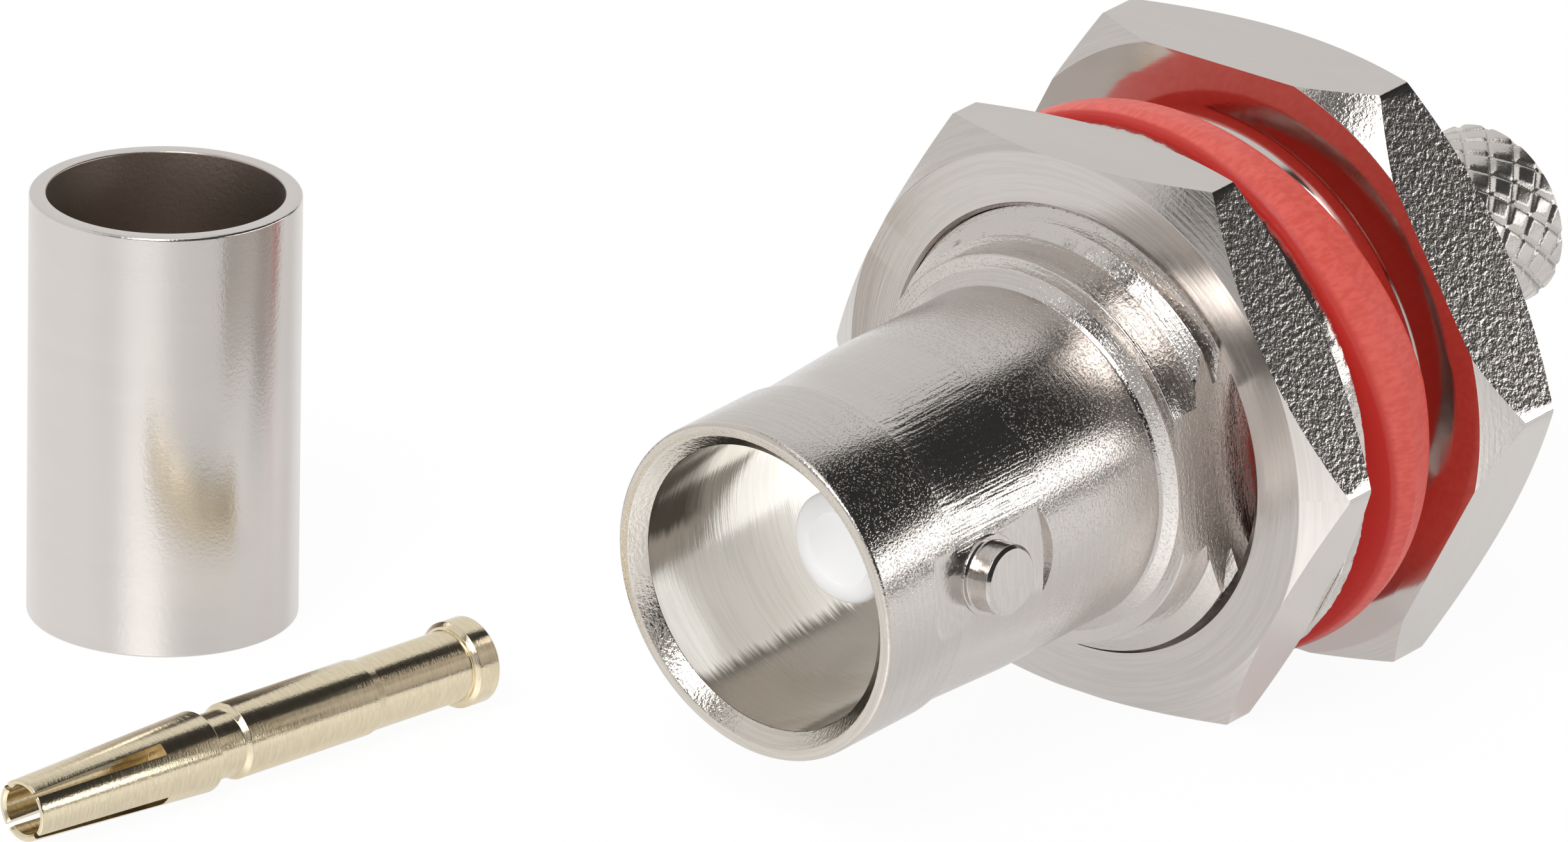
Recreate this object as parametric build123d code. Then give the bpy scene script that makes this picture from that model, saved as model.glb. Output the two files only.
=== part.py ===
from build123d import *
import os
from math import atan2, cos, degrees, radians, sin

os.makedirs("parts", exist_ok=True)

# A bulkhead BNC crimp jack lying on a level surface, with its loose centre contact lying and
# its crimp ferrule standing beside it, in millimetres. Each piece of the jack is modelled along
# the jack's own axis: X runs back from the front lip, and the nut and the flange have a flat
# at the bottom. Then the jack is laid down, so that it rests on the nut and on the flange.

# Barrel, which the plug slides into
barrel_radius = 4.825
barrel_bore_radius = 4.08
barrel_length = 10.85
bore_depth = 8.4
bore_lead_in = 0.15
lip_round = 0.34
waist_radius = 4.70
waist_front = 2.75
waist_length = 3.05
rear_barrel_radius = 4.87

# Bayonet lugs, milled from the same bar, each in a flat round spot face
lug_station = 3.97
lug_radius = 0.98
lug_span = 11.0
lug_chamfer = 0.1
lug_foot_radius = 1.12
lug_foot_height = 0.06
spot_radius = 2.45
spot_distance = 4.62
index_angle = 3.0

# Collar and panel thread, with one flat along the thread on the side of the near lug
collar_radius = 5.62
collar_foot = 0.35
collar_length = 0.96
thread_radius = 6.35
thread_core_radius = 5.8
flat_distance = 5.86

# Rear flange, a hexagon in one piece with the barrel and the thread
flange_front = 19.57
flange_across_flats = 17.0
flange_thickness = 2.98
flange_front_chamfer_radius = 8.9
flange_rear_chamfer_radius = 8.4

# Hexagons' chamfers: length along the axis for each millimetre of radius
flange_front_chamfer_slope = 1.0
flange_rear_chamfer_slope = 0.65
nut_chamfer_slope = 0.63

# Inside of the shell
web_thickness = 0.6
web_hole_radius = 2.4
rear_bore_radius = 3.3

# Panel nut
nut_front = 12.97
nut_across_flats = 15.875
nut_thickness = 2.38
nut_chamfer_radius = 7.97
nut_countersink = 0.12
nut_thread_gap = 0.05

# Lock washer, which hangs on the thread behind the nut
washer_radius = 7.95
washer_rim_radius = 7.2
washer_tooth_radius = 6.56
washer_thickness = 0.5
washer_teeth = 12
washer_tooth_share = 0.55
washer_hang_gap = 0.02

# Silicone gasket, which leans on the washer
gasket_radius = 8.2
gasket_bore_radius = 6.5
gasket_thickness = 1.55
gasket_edge_chamfer = 0.12
gasket_lean = 3.4
gasket_lean_turn = 30.0

# Gap between loose pieces that lie face to face
face_gap = 0.02

# Centre contact, a slotted socket at the tip and a crimp pot at the rear
contact_length = 16.5
contact_tip_radius = 0.86
contact_tip_round = 0.12
contact_shoulder_station = 6.3
contact_shoulder_radius = 1.14
contact_neck_radius = 0.925
contact_neck_end = 7.3
contact_body_radius = 1.067
contact_body_chamfer = 0.14
contact_step_station = 12.1
contact_step_length = 0.3
contact_rear_radius = 1.01
contact_collar_station = 15.6
contact_collar_radius = 1.22
contact_collar_chamfer = 0.12
socket_radius = 0.675
socket_depth = 5.2
socket_mouth = 0.08
slot_length = 4.5
slot_width = 0.35
slot_turn = 42.0
crimp_pot_radius = 0.6
crimp_pot_depth = 5.0

# Insulators, which hold the contact once it is crimped on its cable and pushed in
nose_radius = 1.6
nose_front = 3.2
nose_mouth_radius = 1.0
contact_recess = 0.35
insulator_gap = 0.02
contact_gap = 0.035
snap_lip_gap = 0.045
snap_lip_length = 0.75
split_gap = 0.1

# Crimp stem, pressed into the flange from behind
stem_radius = 2.62
stem_bore_radius = 1.95
stem_length = 8.65
stem_end_chamfer = 0.25
stem_press_gap = 0.01

# Crimp ferrule
ferrule_radius = 3.76
ferrule_bore_radius = 3.285
ferrule_length = 12.26
ferrule_edge_chamfer = 0.08

# Places of the loose pieces on the surface, from the point below the lip's centre
ferrule_place = (0.75, 22.4)
contact_tip_place = (-14.87, 13.09)
contact_heading = -5.0

# Worked out from the sizes above
waist_rear = waist_front + waist_length
collar_front = barrel_length + collar_foot
thread_front = collar_front + collar_length
thread_lead = thread_radius - thread_core_radius
flange_rear = flange_front + flange_thickness
nut_rear = nut_front + nut_thickness
washer_front = nut_rear + face_gap
washer_rear = washer_front + washer_thickness
washer_drop = washer_tooth_radius - thread_radius - washer_hang_gap
web_rear = bore_depth + web_thickness
contact_seat = nose_front + contact_recess
insulator_split = contact_seat + contact_shoulder_station + split_gap
stem_front = contact_seat + contact_collar_station
insulator_radius = rear_bore_radius - insulator_gap
stem_rear = flange_rear + stem_length

# Resting on the front edges of the nut's and the flange's bottom flats, the jack dips forward
rest_tilt = degrees(
    atan2((flange_across_flats - nut_across_flats) / 2, flange_front - nut_front)
)
axis_height = nut_across_flats / 2 * cos(radians(rest_tilt)) - nut_front * sin(
    radians(rest_tilt)
)


def turned(*outline):
    """A solid turned about the X axis from a closed outline of (station, radius) edges."""
    return revolve(make_face(Curve() + list(outline)), Axis.X)


def turned_between(*corners):
    """A turned solid whose outline is straight from corner to corner."""
    return turned(Polyline(*corners, close=True))


def turned_bore(front, rear, radius):
    """A plain round cutter along the axis."""
    return turned_between((front, 0), (front, radius), (rear, radius), (rear, 0))


def hexagon(front, thickness, across_flats, front_chamfer, rear_chamfer):
    """A hexagon with a flat at the bottom, chamfered by a cone at each end that starts at
    the given radius and runs back by the given length for each millimetre of radius."""
    rear = front + thickness
    reach = across_flats
    front_radius, front_slope = front_chamfer
    rear_radius, rear_slope = rear_chamfer
    prism = extrude(
        Plane.YZ.offset(front)
        * RegularPolygon(across_flats / 2, 6, major_radius=False),
        thickness,
    )
    front_cone = turned_between(
        (front, front_radius),
        (front, reach),
        (front + (reach - front_radius) * front_slope, reach),
    )
    rear_cone = turned_between(
        (rear, rear_radius),
        (rear, reach),
        (rear - (reach - rear_radius) * rear_slope, reach),
    )
    return prism - front_cone - rear_cone


def turned_body():
    """The shell's turned outside, from the lip to the flange, still without its bore."""
    lip_radius = barrel_radius - lip_round
    lip_arc = RadiusArc((0, lip_radius), (lip_round, barrel_radius), lip_round)
    waist = ThreePointArc(
        (waist_front, barrel_radius),
        (waist_front + waist_length / 2, waist_radius),
        (waist_rear, rear_barrel_radius),
    )
    return turned(
        Line((0, 0), (0, lip_radius)),
        lip_arc,
        Line((lip_round, barrel_radius), (waist_front, barrel_radius)),
        waist,
        Polyline(
            (waist_rear, rear_barrel_radius),
            (barrel_length, rear_barrel_radius),
            (collar_front, rear_barrel_radius + collar_foot),
            (collar_front, collar_radius),
            (thread_front, collar_radius),
            (thread_front, thread_core_radius),
            (thread_front + thread_lead, thread_radius),
            (flange_front + flange_thickness / 2, thread_radius),
            (flange_front + flange_thickness / 2, 0),
            (0, 0),
        ),
    )


def bayonet_lug(side):
    """One lug with its small foot, on the side of +Y (1) or of -Y (-1)."""
    root = (barrel_bore_radius + spot_distance) / 2
    end = lug_span / 2
    outline = Polyline(
        (0, root),
        (lug_foot_radius, root),
        (lug_foot_radius, spot_distance + lug_foot_height),
        (lug_radius, spot_distance + lug_foot_height),
        (lug_radius, end - lug_chamfer),
        (lug_radius - lug_chamfer, end),
        (0, end),
        close=True,
    )
    lug = revolve(make_face(outline), Axis.Y)
    return Pos(X=lug_station) * (lug if side > 0 else Rot(X=180) * lug)


def spot_face(side):
    """The cutter of the flat round face that one lug stands in."""
    depth = barrel_radius
    cutter = Rot(X=-90 * side) * Cylinder(
        spot_radius, depth, align=(Align.CENTER, Align.CENTER, Align.MIN)
    )
    return Pos(lug_station, side * spot_distance, 0) * cutter


def shell():
    """Barrel, lugs, collar, thread and flange: one piece, turned and then milled."""
    body = turned_body()
    for side in (1, -1):
        body -= spot_face(side)
        body += bayonet_lug(side)
    body -= Pos(thread_front, -flat_distance, 0) * Box(
        flange_front - thread_front,
        thread_radius,
        2 * thread_radius,
        align=(Align.MIN, Align.MAX, Align.CENTER),
    )
    body = Rot(X=-index_angle) * body
    body += hexagon(
        flange_front,
        flange_thickness,
        flange_across_flats,
        (flange_front_chamfer_radius, flange_front_chamfer_slope),
        (flange_rear_chamfer_radius, flange_rear_chamfer_slope),
    )
    return body - turned_between(
        (0, 0),
        (0, barrel_bore_radius + bore_lead_in),
        (bore_lead_in, barrel_bore_radius),
        (bore_depth, barrel_bore_radius),
        (bore_depth, web_hole_radius),
        (web_rear, web_hole_radius),
        (web_rear, rear_bore_radius),
        (flange_rear, rear_bore_radius),
        (flange_rear, 0),
    )


def front_insulator():
    """The nose that shows in the barrel, its pilot in the web and its flange behind it."""
    pilot_radius = web_hole_radius - insulator_gap
    bore_end_radius = contact_shoulder_radius + contact_gap
    body = turned_between(
        (nose_front, 0),
        (nose_front, nose_radius),
        (bore_depth, nose_radius),
        (bore_depth, pilot_radius),
        (web_rear + face_gap, pilot_radius),
        (web_rear + face_gap, insulator_radius),
        (insulator_split, insulator_radius),
        (insulator_split, 0),
    )
    return body - turned_between(
        (nose_front, 0),
        (nose_front, nose_mouth_radius),
        (insulator_split, bore_end_radius),
        (insulator_split, 0),
    )


def rear_insulator():
    """The bush behind it, whose lip snaps into the contact's neck."""
    lip_radius = contact_neck_radius + snap_lip_gap
    lip_rear = insulator_split + snap_lip_length
    body = turned_bore(insulator_split, stem_front, insulator_radius)
    lip_bore = turned_bore(insulator_split, lip_rear, lip_radius)
    body_bore = turned_bore(lip_rear, stem_front, contact_body_radius + contact_gap)
    return body - lip_bore - body_bore


def crimp_stem():
    """The tube for the cable: its head is pressed into the flange up to the insulator."""
    head_radius = rear_bore_radius - stem_press_gap
    return turned_between(
        (stem_rear, stem_radius - stem_end_chamfer),
        (stem_rear, stem_bore_radius),
        (stem_front, stem_bore_radius),
        (stem_front, head_radius),
        (flange_rear, head_radius),
        (flange_rear, stem_radius),
        (stem_rear - stem_end_chamfer, stem_radius),
    )


def panel_nut():
    """The hexagon nut on the thread, chamfered on both faces."""
    chamfer_cone = (nut_chamfer_radius, nut_chamfer_slope)
    bore = thread_radius + nut_thread_gap
    return hexagon(
        nut_front, nut_thickness, nut_across_flats, chamfer_cone, chamfer_cone
    ) - turned_between(
        (nut_front, 0),
        (nut_front, bore + nut_countersink),
        (nut_front + nut_countersink, bore),
        (nut_rear - nut_countersink, bore),
        (nut_rear, bore + nut_countersink),
        (nut_rear, 0),
    )


def lock_washer():
    """The internal-tooth lock washer, hanging on the thread by the teeth at its top."""
    pitch = 360 / washer_teeth
    ring = turned_bore(washer_front, washer_rear, washer_radius)
    tooth_bore = turned_bore(washer_front, washer_rear, washer_tooth_radius)
    rim_bore = turned_bore(washer_front, washer_rear, washer_rim_radius)
    gap_half_angle = radians(pitch * (1 - washer_tooth_share) / 2)
    reach = 2 * washer_radius
    wedge = extrude(
        Plane.YZ.offset(washer_front)
        * make_face(
            Polyline(
                (0, 0),
                (reach * cos(gap_half_angle), -reach * sin(gap_half_angle)),
                (reach * cos(gap_half_angle), reach * sin(gap_half_angle)),
                close=True,
            )
        ),
        washer_thickness,
    )
    washer = ring - tooth_bore
    for tooth in range(washer_teeth):
        washer -= Rot(X=pitch * tooth) * wedge & rim_bore
    return Pos(Z=-washer_drop) * washer


def gasket():
    """The sealing ring, leaning on the washer's rear face."""
    ring = turned_bore(0, gasket_thickness, gasket_radius) - turned_bore(
        0, gasket_thickness, gasket_bore_radius
    )
    ring = chamfer(ring.edges().filter_by(GeomType.CIRCLE), gasket_edge_chamfer)
    lean = Rot(X=gasket_lean_turn) * Rot(Z=-gasket_lean) * Rot(X=-gasket_lean_turn)
    leaning = lean * ring
    gap = washer_rear + face_gap - leaning.bounding_box().min.X
    return Pos(X=gap) * leaning


def centre_contact():
    """The loose contact along X from its tip: four-finger socket, neck, body and collar."""
    collar_edge = contact_collar_station + contact_collar_chamfer
    body = turned_between(
        (0, 0),
        (0, contact_tip_radius - contact_tip_round),
        (contact_tip_round, contact_tip_radius),
        (contact_shoulder_station, contact_shoulder_radius),
        (contact_shoulder_station + contact_body_chamfer, contact_neck_radius),
        (contact_neck_end, contact_neck_radius),
        (contact_neck_end + contact_body_chamfer, contact_body_radius),
        (contact_step_station, contact_body_radius),
        (contact_step_station + contact_step_length, contact_rear_radius),
        (contact_collar_station, contact_rear_radius),
        (contact_collar_station, contact_collar_radius - contact_collar_chamfer),
        (collar_edge, contact_collar_radius),
        (contact_length - contact_collar_chamfer, contact_collar_radius),
        (contact_length, contact_collar_radius - contact_collar_chamfer),
        (contact_length, 0),
    )
    socket = turned_between(
        (0, 0),
        (0, socket_radius + socket_mouth),
        (socket_mouth, socket_radius),
        (socket_depth, socket_radius),
        (socket_depth, 0),
    )
    crimp_pot = turned_bore(
        contact_length - crimp_pot_depth, contact_length, crimp_pot_radius
    )
    slot = Box(
        slot_length,
        4 * contact_shoulder_radius,
        slot_width,
        align=(Align.MIN, Align.CENTER, Align.CENTER),
    )
    slots = Rot(X=slot_turn) * slot + Rot(X=slot_turn + 90) * slot
    return body - socket - crimp_pot - slots


def crimp_ferrule():
    """The loose ferrule, a plain tube standing on its end."""
    tube = Cylinder(
        ferrule_radius,
        ferrule_length,
        align=(Align.CENTER, Align.CENTER, Align.MIN),
    ) - Cylinder(
        ferrule_bore_radius,
        ferrule_length,
        align=(Align.CENTER, Align.CENTER, Align.MIN),
    )
    return chamfer(tube.edges().filter_by(GeomType.CIRCLE), ferrule_edge_chamfer)


# The contact lies on the edges of its shoulder and of its collar
contact_pitch = degrees(
    atan2(
        contact_collar_radius - contact_shoulder_radius,
        contact_collar_station + contact_collar_chamfer - contact_shoulder_station,
    )
)
contact_tip_height = contact_shoulder_radius * cos(
    radians(contact_pitch)
) - contact_shoulder_station * sin(radians(contact_pitch))

laid_down = Pos(Z=axis_height) * Rot(Y=-rest_tilt)
contact_laid = (
    Pos(*contact_tip_place, contact_tip_height)
    * Rot(Z=contact_heading)
    * Rot(Y=-contact_pitch)
)

pieces = {
    "shell": laid_down * shell(),
    "front_insulator": laid_down * front_insulator(),
    "rear_insulator": laid_down * rear_insulator(),
    "crimp_stem": laid_down * crimp_stem(),
    "panel_nut": laid_down * panel_nut(),
    "lock_washer": laid_down * lock_washer(),
    "gasket": laid_down * gasket(),
    "centre_contact": contact_laid * centre_contact(),
    "crimp_ferrule": Pos(*ferrule_place, 0) * crimp_ferrule(),
}

# The origin is the middle of the bottom of the whole group's box
group_box = Compound(list(pieces.values())).bounding_box()
to_origin = Pos(-group_box.center().X, -group_box.center().Y, -group_box.min.Z)
pieces = {name: to_origin * piece for name, piece in pieces.items()}

for name, piece in pieces.items():
    export_step(piece, f"parts/{name}.step")
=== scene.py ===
"""Looks of a bulkhead BNC crimp jack lying on a white surface, with its loose contact and ferrule.

Each piece is modelled in millimetres along its own axis (X), then laid down in the frame, in
metres. Finishes read that same axis, so that tool marks run round each turned piece.
"""

import logging
import math
from dataclasses import dataclass
from enum import Enum
from typing import Callable, Sequence

import bpy
from mathutils import Matrix, Vector, noise

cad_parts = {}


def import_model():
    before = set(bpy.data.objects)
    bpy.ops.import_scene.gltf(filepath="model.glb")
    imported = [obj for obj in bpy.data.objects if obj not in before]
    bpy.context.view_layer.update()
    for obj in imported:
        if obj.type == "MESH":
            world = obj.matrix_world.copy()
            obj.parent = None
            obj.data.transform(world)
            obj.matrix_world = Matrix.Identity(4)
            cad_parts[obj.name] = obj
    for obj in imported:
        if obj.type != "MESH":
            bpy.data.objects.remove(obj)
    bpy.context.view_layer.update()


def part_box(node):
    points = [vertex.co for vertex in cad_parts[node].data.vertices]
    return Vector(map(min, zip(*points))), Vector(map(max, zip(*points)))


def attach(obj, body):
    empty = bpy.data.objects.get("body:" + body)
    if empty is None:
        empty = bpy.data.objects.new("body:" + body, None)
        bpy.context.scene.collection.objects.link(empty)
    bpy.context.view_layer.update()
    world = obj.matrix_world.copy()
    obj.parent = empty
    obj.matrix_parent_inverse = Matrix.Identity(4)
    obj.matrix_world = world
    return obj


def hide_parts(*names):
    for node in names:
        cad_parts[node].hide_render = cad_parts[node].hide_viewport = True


LOG = logging.getLogger("bnc_jack")
MM = 0.001
FULL_TURN = 2 * math.pi
RIGHT_ANGLE = math.pi / 2
HEXAGON_HALF = math.radians(30)
SHARP_ANGLE = math.radians(20)
MERGE_GAP = 0.0004
LONGEST_ROUNDING = 0.49
END_ON = 0.95
EDGE_ON = 0.2

Solid = bpy.types.Object
Socket = bpy.types.NodeSocket
Point = tuple[float, float]
Triple = tuple[float, float, float]
Colour = Triple


class Cut(Enum):
    """How one solid changes another."""

    REMOVE = "DIFFERENCE"
    ADD = "UNION"
    KEEP_INSIDE = "INTERSECT"


@dataclass(frozen=True)
class Corner:
    """A corner of a turned outline, in millimetres along and from the axis."""

    station: float
    radius: float
    rounding: float = 0.0


def outline(corners: Sequence[Corner], closed: bool = True, arc_steps: int = 5) -> list[Point]:
    """Works out an outline's points, with each rounded corner as an arc.

    Args:
        corners: The corners in order.
        closed: Whether the last corner joins the first.
        arc_steps: Number of steps in each arc.

    Returns:
        The points, as station and radius.
    """
    points: list[Point] = []
    count = len(corners)
    for index, corner in enumerate(corners):
        here = Vector((corner.station, corner.radius))
        at_end = not closed and index in (0, count - 1)
        if corner.rounding <= 0 or at_end:
            points.append((here.x, here.y))
            continue
        before = corners[index - 1]
        after = corners[(index + 1) % count]
        back = Vector((before.station, before.radius)) - here
        ahead = Vector((after.station, after.radius)) - here
        half = back.angle(ahead) / 2
        longest = LONGEST_ROUNDING * min(back.length, ahead.length)
        reach = min(corner.rounding / math.tan(half), longest)
        start = here + back.normalized() * reach
        end = here + ahead.normalized() * reach
        middle = back.normalized() + ahead.normalized()
        centre = here + middle.normalized() * (reach / math.cos(half))
        spoke = start - centre
        turn = spoke.angle_signed(end - centre)
        for step in range(arc_steps + 1):
            swing = Matrix.Rotation(-turn * step / arc_steps, 2)
            point = centre + swing @ spoke
            points.append((point.x, point.y))
    return points


def rod(front: float, rear: float, radius: float) -> list[Point]:
    """The open outline of a plain rod between two stations."""
    return [(front, 0.0), (front, radius), (rear, radius), (rear, 0.0)]


def axis_distance(point: Vector) -> float:
    """Distance of a point from the X axis."""
    return math.hypot(point.y, point.z)


def turn_from(origin: float, degrees: float) -> float:
    """How far an angle lies from another one, from -180 to 180 degrees."""
    return (degrees - origin + 180) % 360 - 180


class Bench:
    """The modelling tools, each a few operators as a modeller would use them by hand."""

    @staticmethod
    def take(*pieces: Solid) -> None:
        """Selects these pieces alone and makes the first one active.

        Args:
            pieces: The pieces, of which the first becomes active.
        """
        bpy.ops.object.select_all(action="DESELECT")
        for piece in pieces:
            piece.select_set(True)
        bpy.context.view_layer.objects.active = pieces[0]

    @staticmethod
    def wire(name: str, points: Sequence[Point]) -> Solid:
        """Draws an outline in the XZ plane, one vertex after the other.

        Args:
            name: Name of the new object.
            points: Stations and radii.

        Returns:
            The wire.
        """
        bpy.ops.object.select_all(action="DESELECT")
        station, radius = points[0]
        bpy.ops.mesh.primitive_plane_add(size=0.1, location=(station, 0, radius))
        piece = bpy.context.object
        piece.name = piece.data.name = name
        bpy.ops.object.transform_apply(location=True)
        bpy.ops.object.mode_set(mode="EDIT")
        bpy.ops.mesh.select_mode(type="VERT")
        bpy.ops.mesh.select_all(action="SELECT")
        bpy.ops.mesh.merge(type="CENTER")
        for (x0, z0), (x1, z1) in zip(points, points[1:]):
            bpy.ops.mesh.extrude_region_move(
                TRANSFORM_OT_translate={"value": (x1 - x0, 0, z1 - z0)}
            )
        bpy.ops.object.mode_set(mode="OBJECT")
        return piece

    @classmethod
    def turn(
        cls, name: str, points: Sequence[Point], segments: int, closed: bool = True
    ) -> Solid:
        """Turns an outline about the X axis.

        Args:
            name: Name of the new object.
            points: Stations and radii. An open outline starts and ends on the axis.
            segments: Number of faces round the piece.
            closed: Whether the last point joins the first.

        Returns:
            The turned solid.
        """
        piece = cls.wire(name, list(points) + ([points[0]] if closed else []))
        bpy.ops.object.mode_set(mode="EDIT")
        bpy.ops.mesh.select_all(action="SELECT")
        bpy.ops.mesh.spin(
            steps=segments, angle=FULL_TURN, center=(0, 0, 0), axis=(1, 0, 0), use_auto_merge=False
        )
        cls.heal()
        bpy.ops.object.mode_set(mode="OBJECT")
        return piece

    @staticmethod
    def heal() -> None:
        """Merges doubles, drops faces with no area and points the faces outwards, in edit mode."""
        bpy.ops.mesh.select_all(action="SELECT")
        bpy.ops.mesh.remove_doubles(threshold=MERGE_GAP)
        bpy.ops.mesh.dissolve_degenerate(threshold=MERGE_GAP / 2)
        bpy.ops.mesh.select_all(action="SELECT")
        bpy.ops.mesh.normals_make_consistent(inside=False)

    @staticmethod
    def cylinder(
        vertices: int, radius: float, depth: float, middle: Triple, turn: Triple
    ) -> Solid:
        """Adds a cylinder, turned and moved to its place.

        Args:
            vertices: Number of its sides.
            radius: Its radius.
            depth: Its length.
            middle: Its middle.
            turn: Its rotation, from standing along Z.

        Returns:
            The cylinder.
        """
        bpy.ops.object.select_all(action="DESELECT")
        bpy.ops.mesh.primitive_cylinder_add(
            vertices=vertices, radius=radius, depth=depth, location=middle, rotation=turn
        )
        bpy.ops.object.transform_apply(location=True, rotation=True)
        return bpy.context.object

    @staticmethod
    def block(middle: Triple, size: Triple) -> Solid:
        """Adds a block of this size at its place.

        Args:
            middle: Its middle.
            size: Its size along X, Y and Z.

        Returns:
            The block.
        """
        bpy.ops.object.select_all(action="DESELECT")
        bpy.ops.mesh.primitive_cube_add(size=1, location=middle, scale=size)
        bpy.ops.object.transform_apply(location=True, scale=True)
        return bpy.context.object

    @classmethod
    def hexagon(
        cls, name: str, front: float, depth: float, across: float, edge: float
    ) -> Solid:
        """Makes a hexagonal prism along X with a flat at the bottom and softened long edges.

        Args:
            name: Name of the new object.
            front: Station of its front face.
            depth: Its length.
            across: Its size across flats.
            edge: Width of the bevel on its long edges.

        Returns:
            The prism.
        """
        corner = across / 2 / math.cos(HEXAGON_HALF)
        piece = cls.cylinder(6, corner, depth, (front + depth / 2, 0, 0), (0, RIGHT_ANGLE, 0))
        piece.name = piece.data.name = name
        lowest = min(vertex.co.z for vertex in piece.data.vertices)
        if abs(lowest) > (across / 2 + corner) / 2:
            bpy.ops.transform.rotate(value=HEXAGON_HALF, orient_axis="X", center_override=(0, 0, 0))
            bpy.ops.object.transform_apply(rotation=True)
        bpy.ops.object.mode_set(mode="EDIT")
        bpy.ops.mesh.select_mode(type="EDGE")
        bpy.ops.mesh.select_all(action="DESELECT")
        bpy.ops.object.mode_set(mode="OBJECT")
        for line in piece.data.edges:
            first, last = (piece.data.vertices[i].co for i in line.vertices)
            line.select = abs(first.x - last.x) > depth / 2
        bpy.ops.object.mode_set(mode="EDIT")
        bpy.ops.mesh.bevel(offset=edge, offset_type="WIDTH", segments=3, affect="EDGES")
        bpy.ops.object.mode_set(mode="OBJECT")
        return piece

    @classmethod
    def cut(cls, piece: Solid, tool: Solid, how: Cut) -> None:
        """Changes a piece by another solid, which is used up.

        Args:
            piece: The solid that is changed.
            tool: The solid that changes it.
            how: What is done.
        """
        cls.take(piece)
        step = piece.modifiers.new("cut", "BOOLEAN")
        step.operation = how.value
        step.solver = "MANIFOLD"
        step.object = tool
        bpy.ops.object.modifier_apply(modifier=step.name)
        bpy.data.objects.remove(tool)

    @classmethod
    def cut_turned(
        cls, piece: Solid, points: Sequence[Point], segments: int, how: Cut
    ) -> None:
        """Changes a piece by a solid turned from an open outline, which ends on the axis."""
        cls.cut(piece, cls.turn("tool", points, segments, closed=False), how)

    @classmethod
    def turned_by(cls, piece: Solid, matrix: Matrix) -> None:
        """Applies a placement to a piece's mesh, and leaves its object at the origin.

        Args:
            piece: The piece.
            matrix: The placement.
        """
        cls.take(piece)
        piece.matrix_world = matrix
        bpy.ops.object.transform_apply(location=True, rotation=True, scale=True)


@dataclass(frozen=True)
class Place:
    """Where a piece's own axis lies in the frame: a point in metres, a heading and a pitch."""

    origin: Triple
    heading: float = 0.0
    pitch: float = 0.0

    @property
    def matrix(self) -> Matrix:
        """From the piece's millimetres to the frame's metres."""
        turn = Matrix.Rotation(self.heading, 4, "Z") @ Matrix.Rotation(-self.pitch, 4, "Y")
        return Matrix.Translation(self.origin) @ turn @ Matrix.Scale(MM, 4)


class Signal:
    """A number that changes over a surface, with arithmetic that adds Math nodes."""

    def __init__(self, graph: "Graph", socket: Socket) -> None:
        """Keeps the node graph and the output socket that gives the number."""
        self.graph = graph
        self.socket = socket

    def __add__(self, other: "Signal | float") -> "Signal":
        """The sum."""
        return self.graph.math("ADD", self, other)

    def __sub__(self, other: "Signal | float") -> "Signal":
        """The difference."""
        return self.graph.math("SUBTRACT", self, other)

    def __mul__(self, other: "Signal | float") -> "Signal":
        """The product."""
        return self.graph.math("MULTIPLY", self, other)

    def __truediv__(self, other: "Signal | float") -> "Signal":
        """The quotient."""
        return self.graph.math("DIVIDE", self, other)

    def __rsub__(self, other: float) -> "Signal":
        """A number less this."""
        return self.graph.math("SUBTRACT", other, self)

    __radd__ = __add__
    __rmul__ = __mul__


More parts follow.
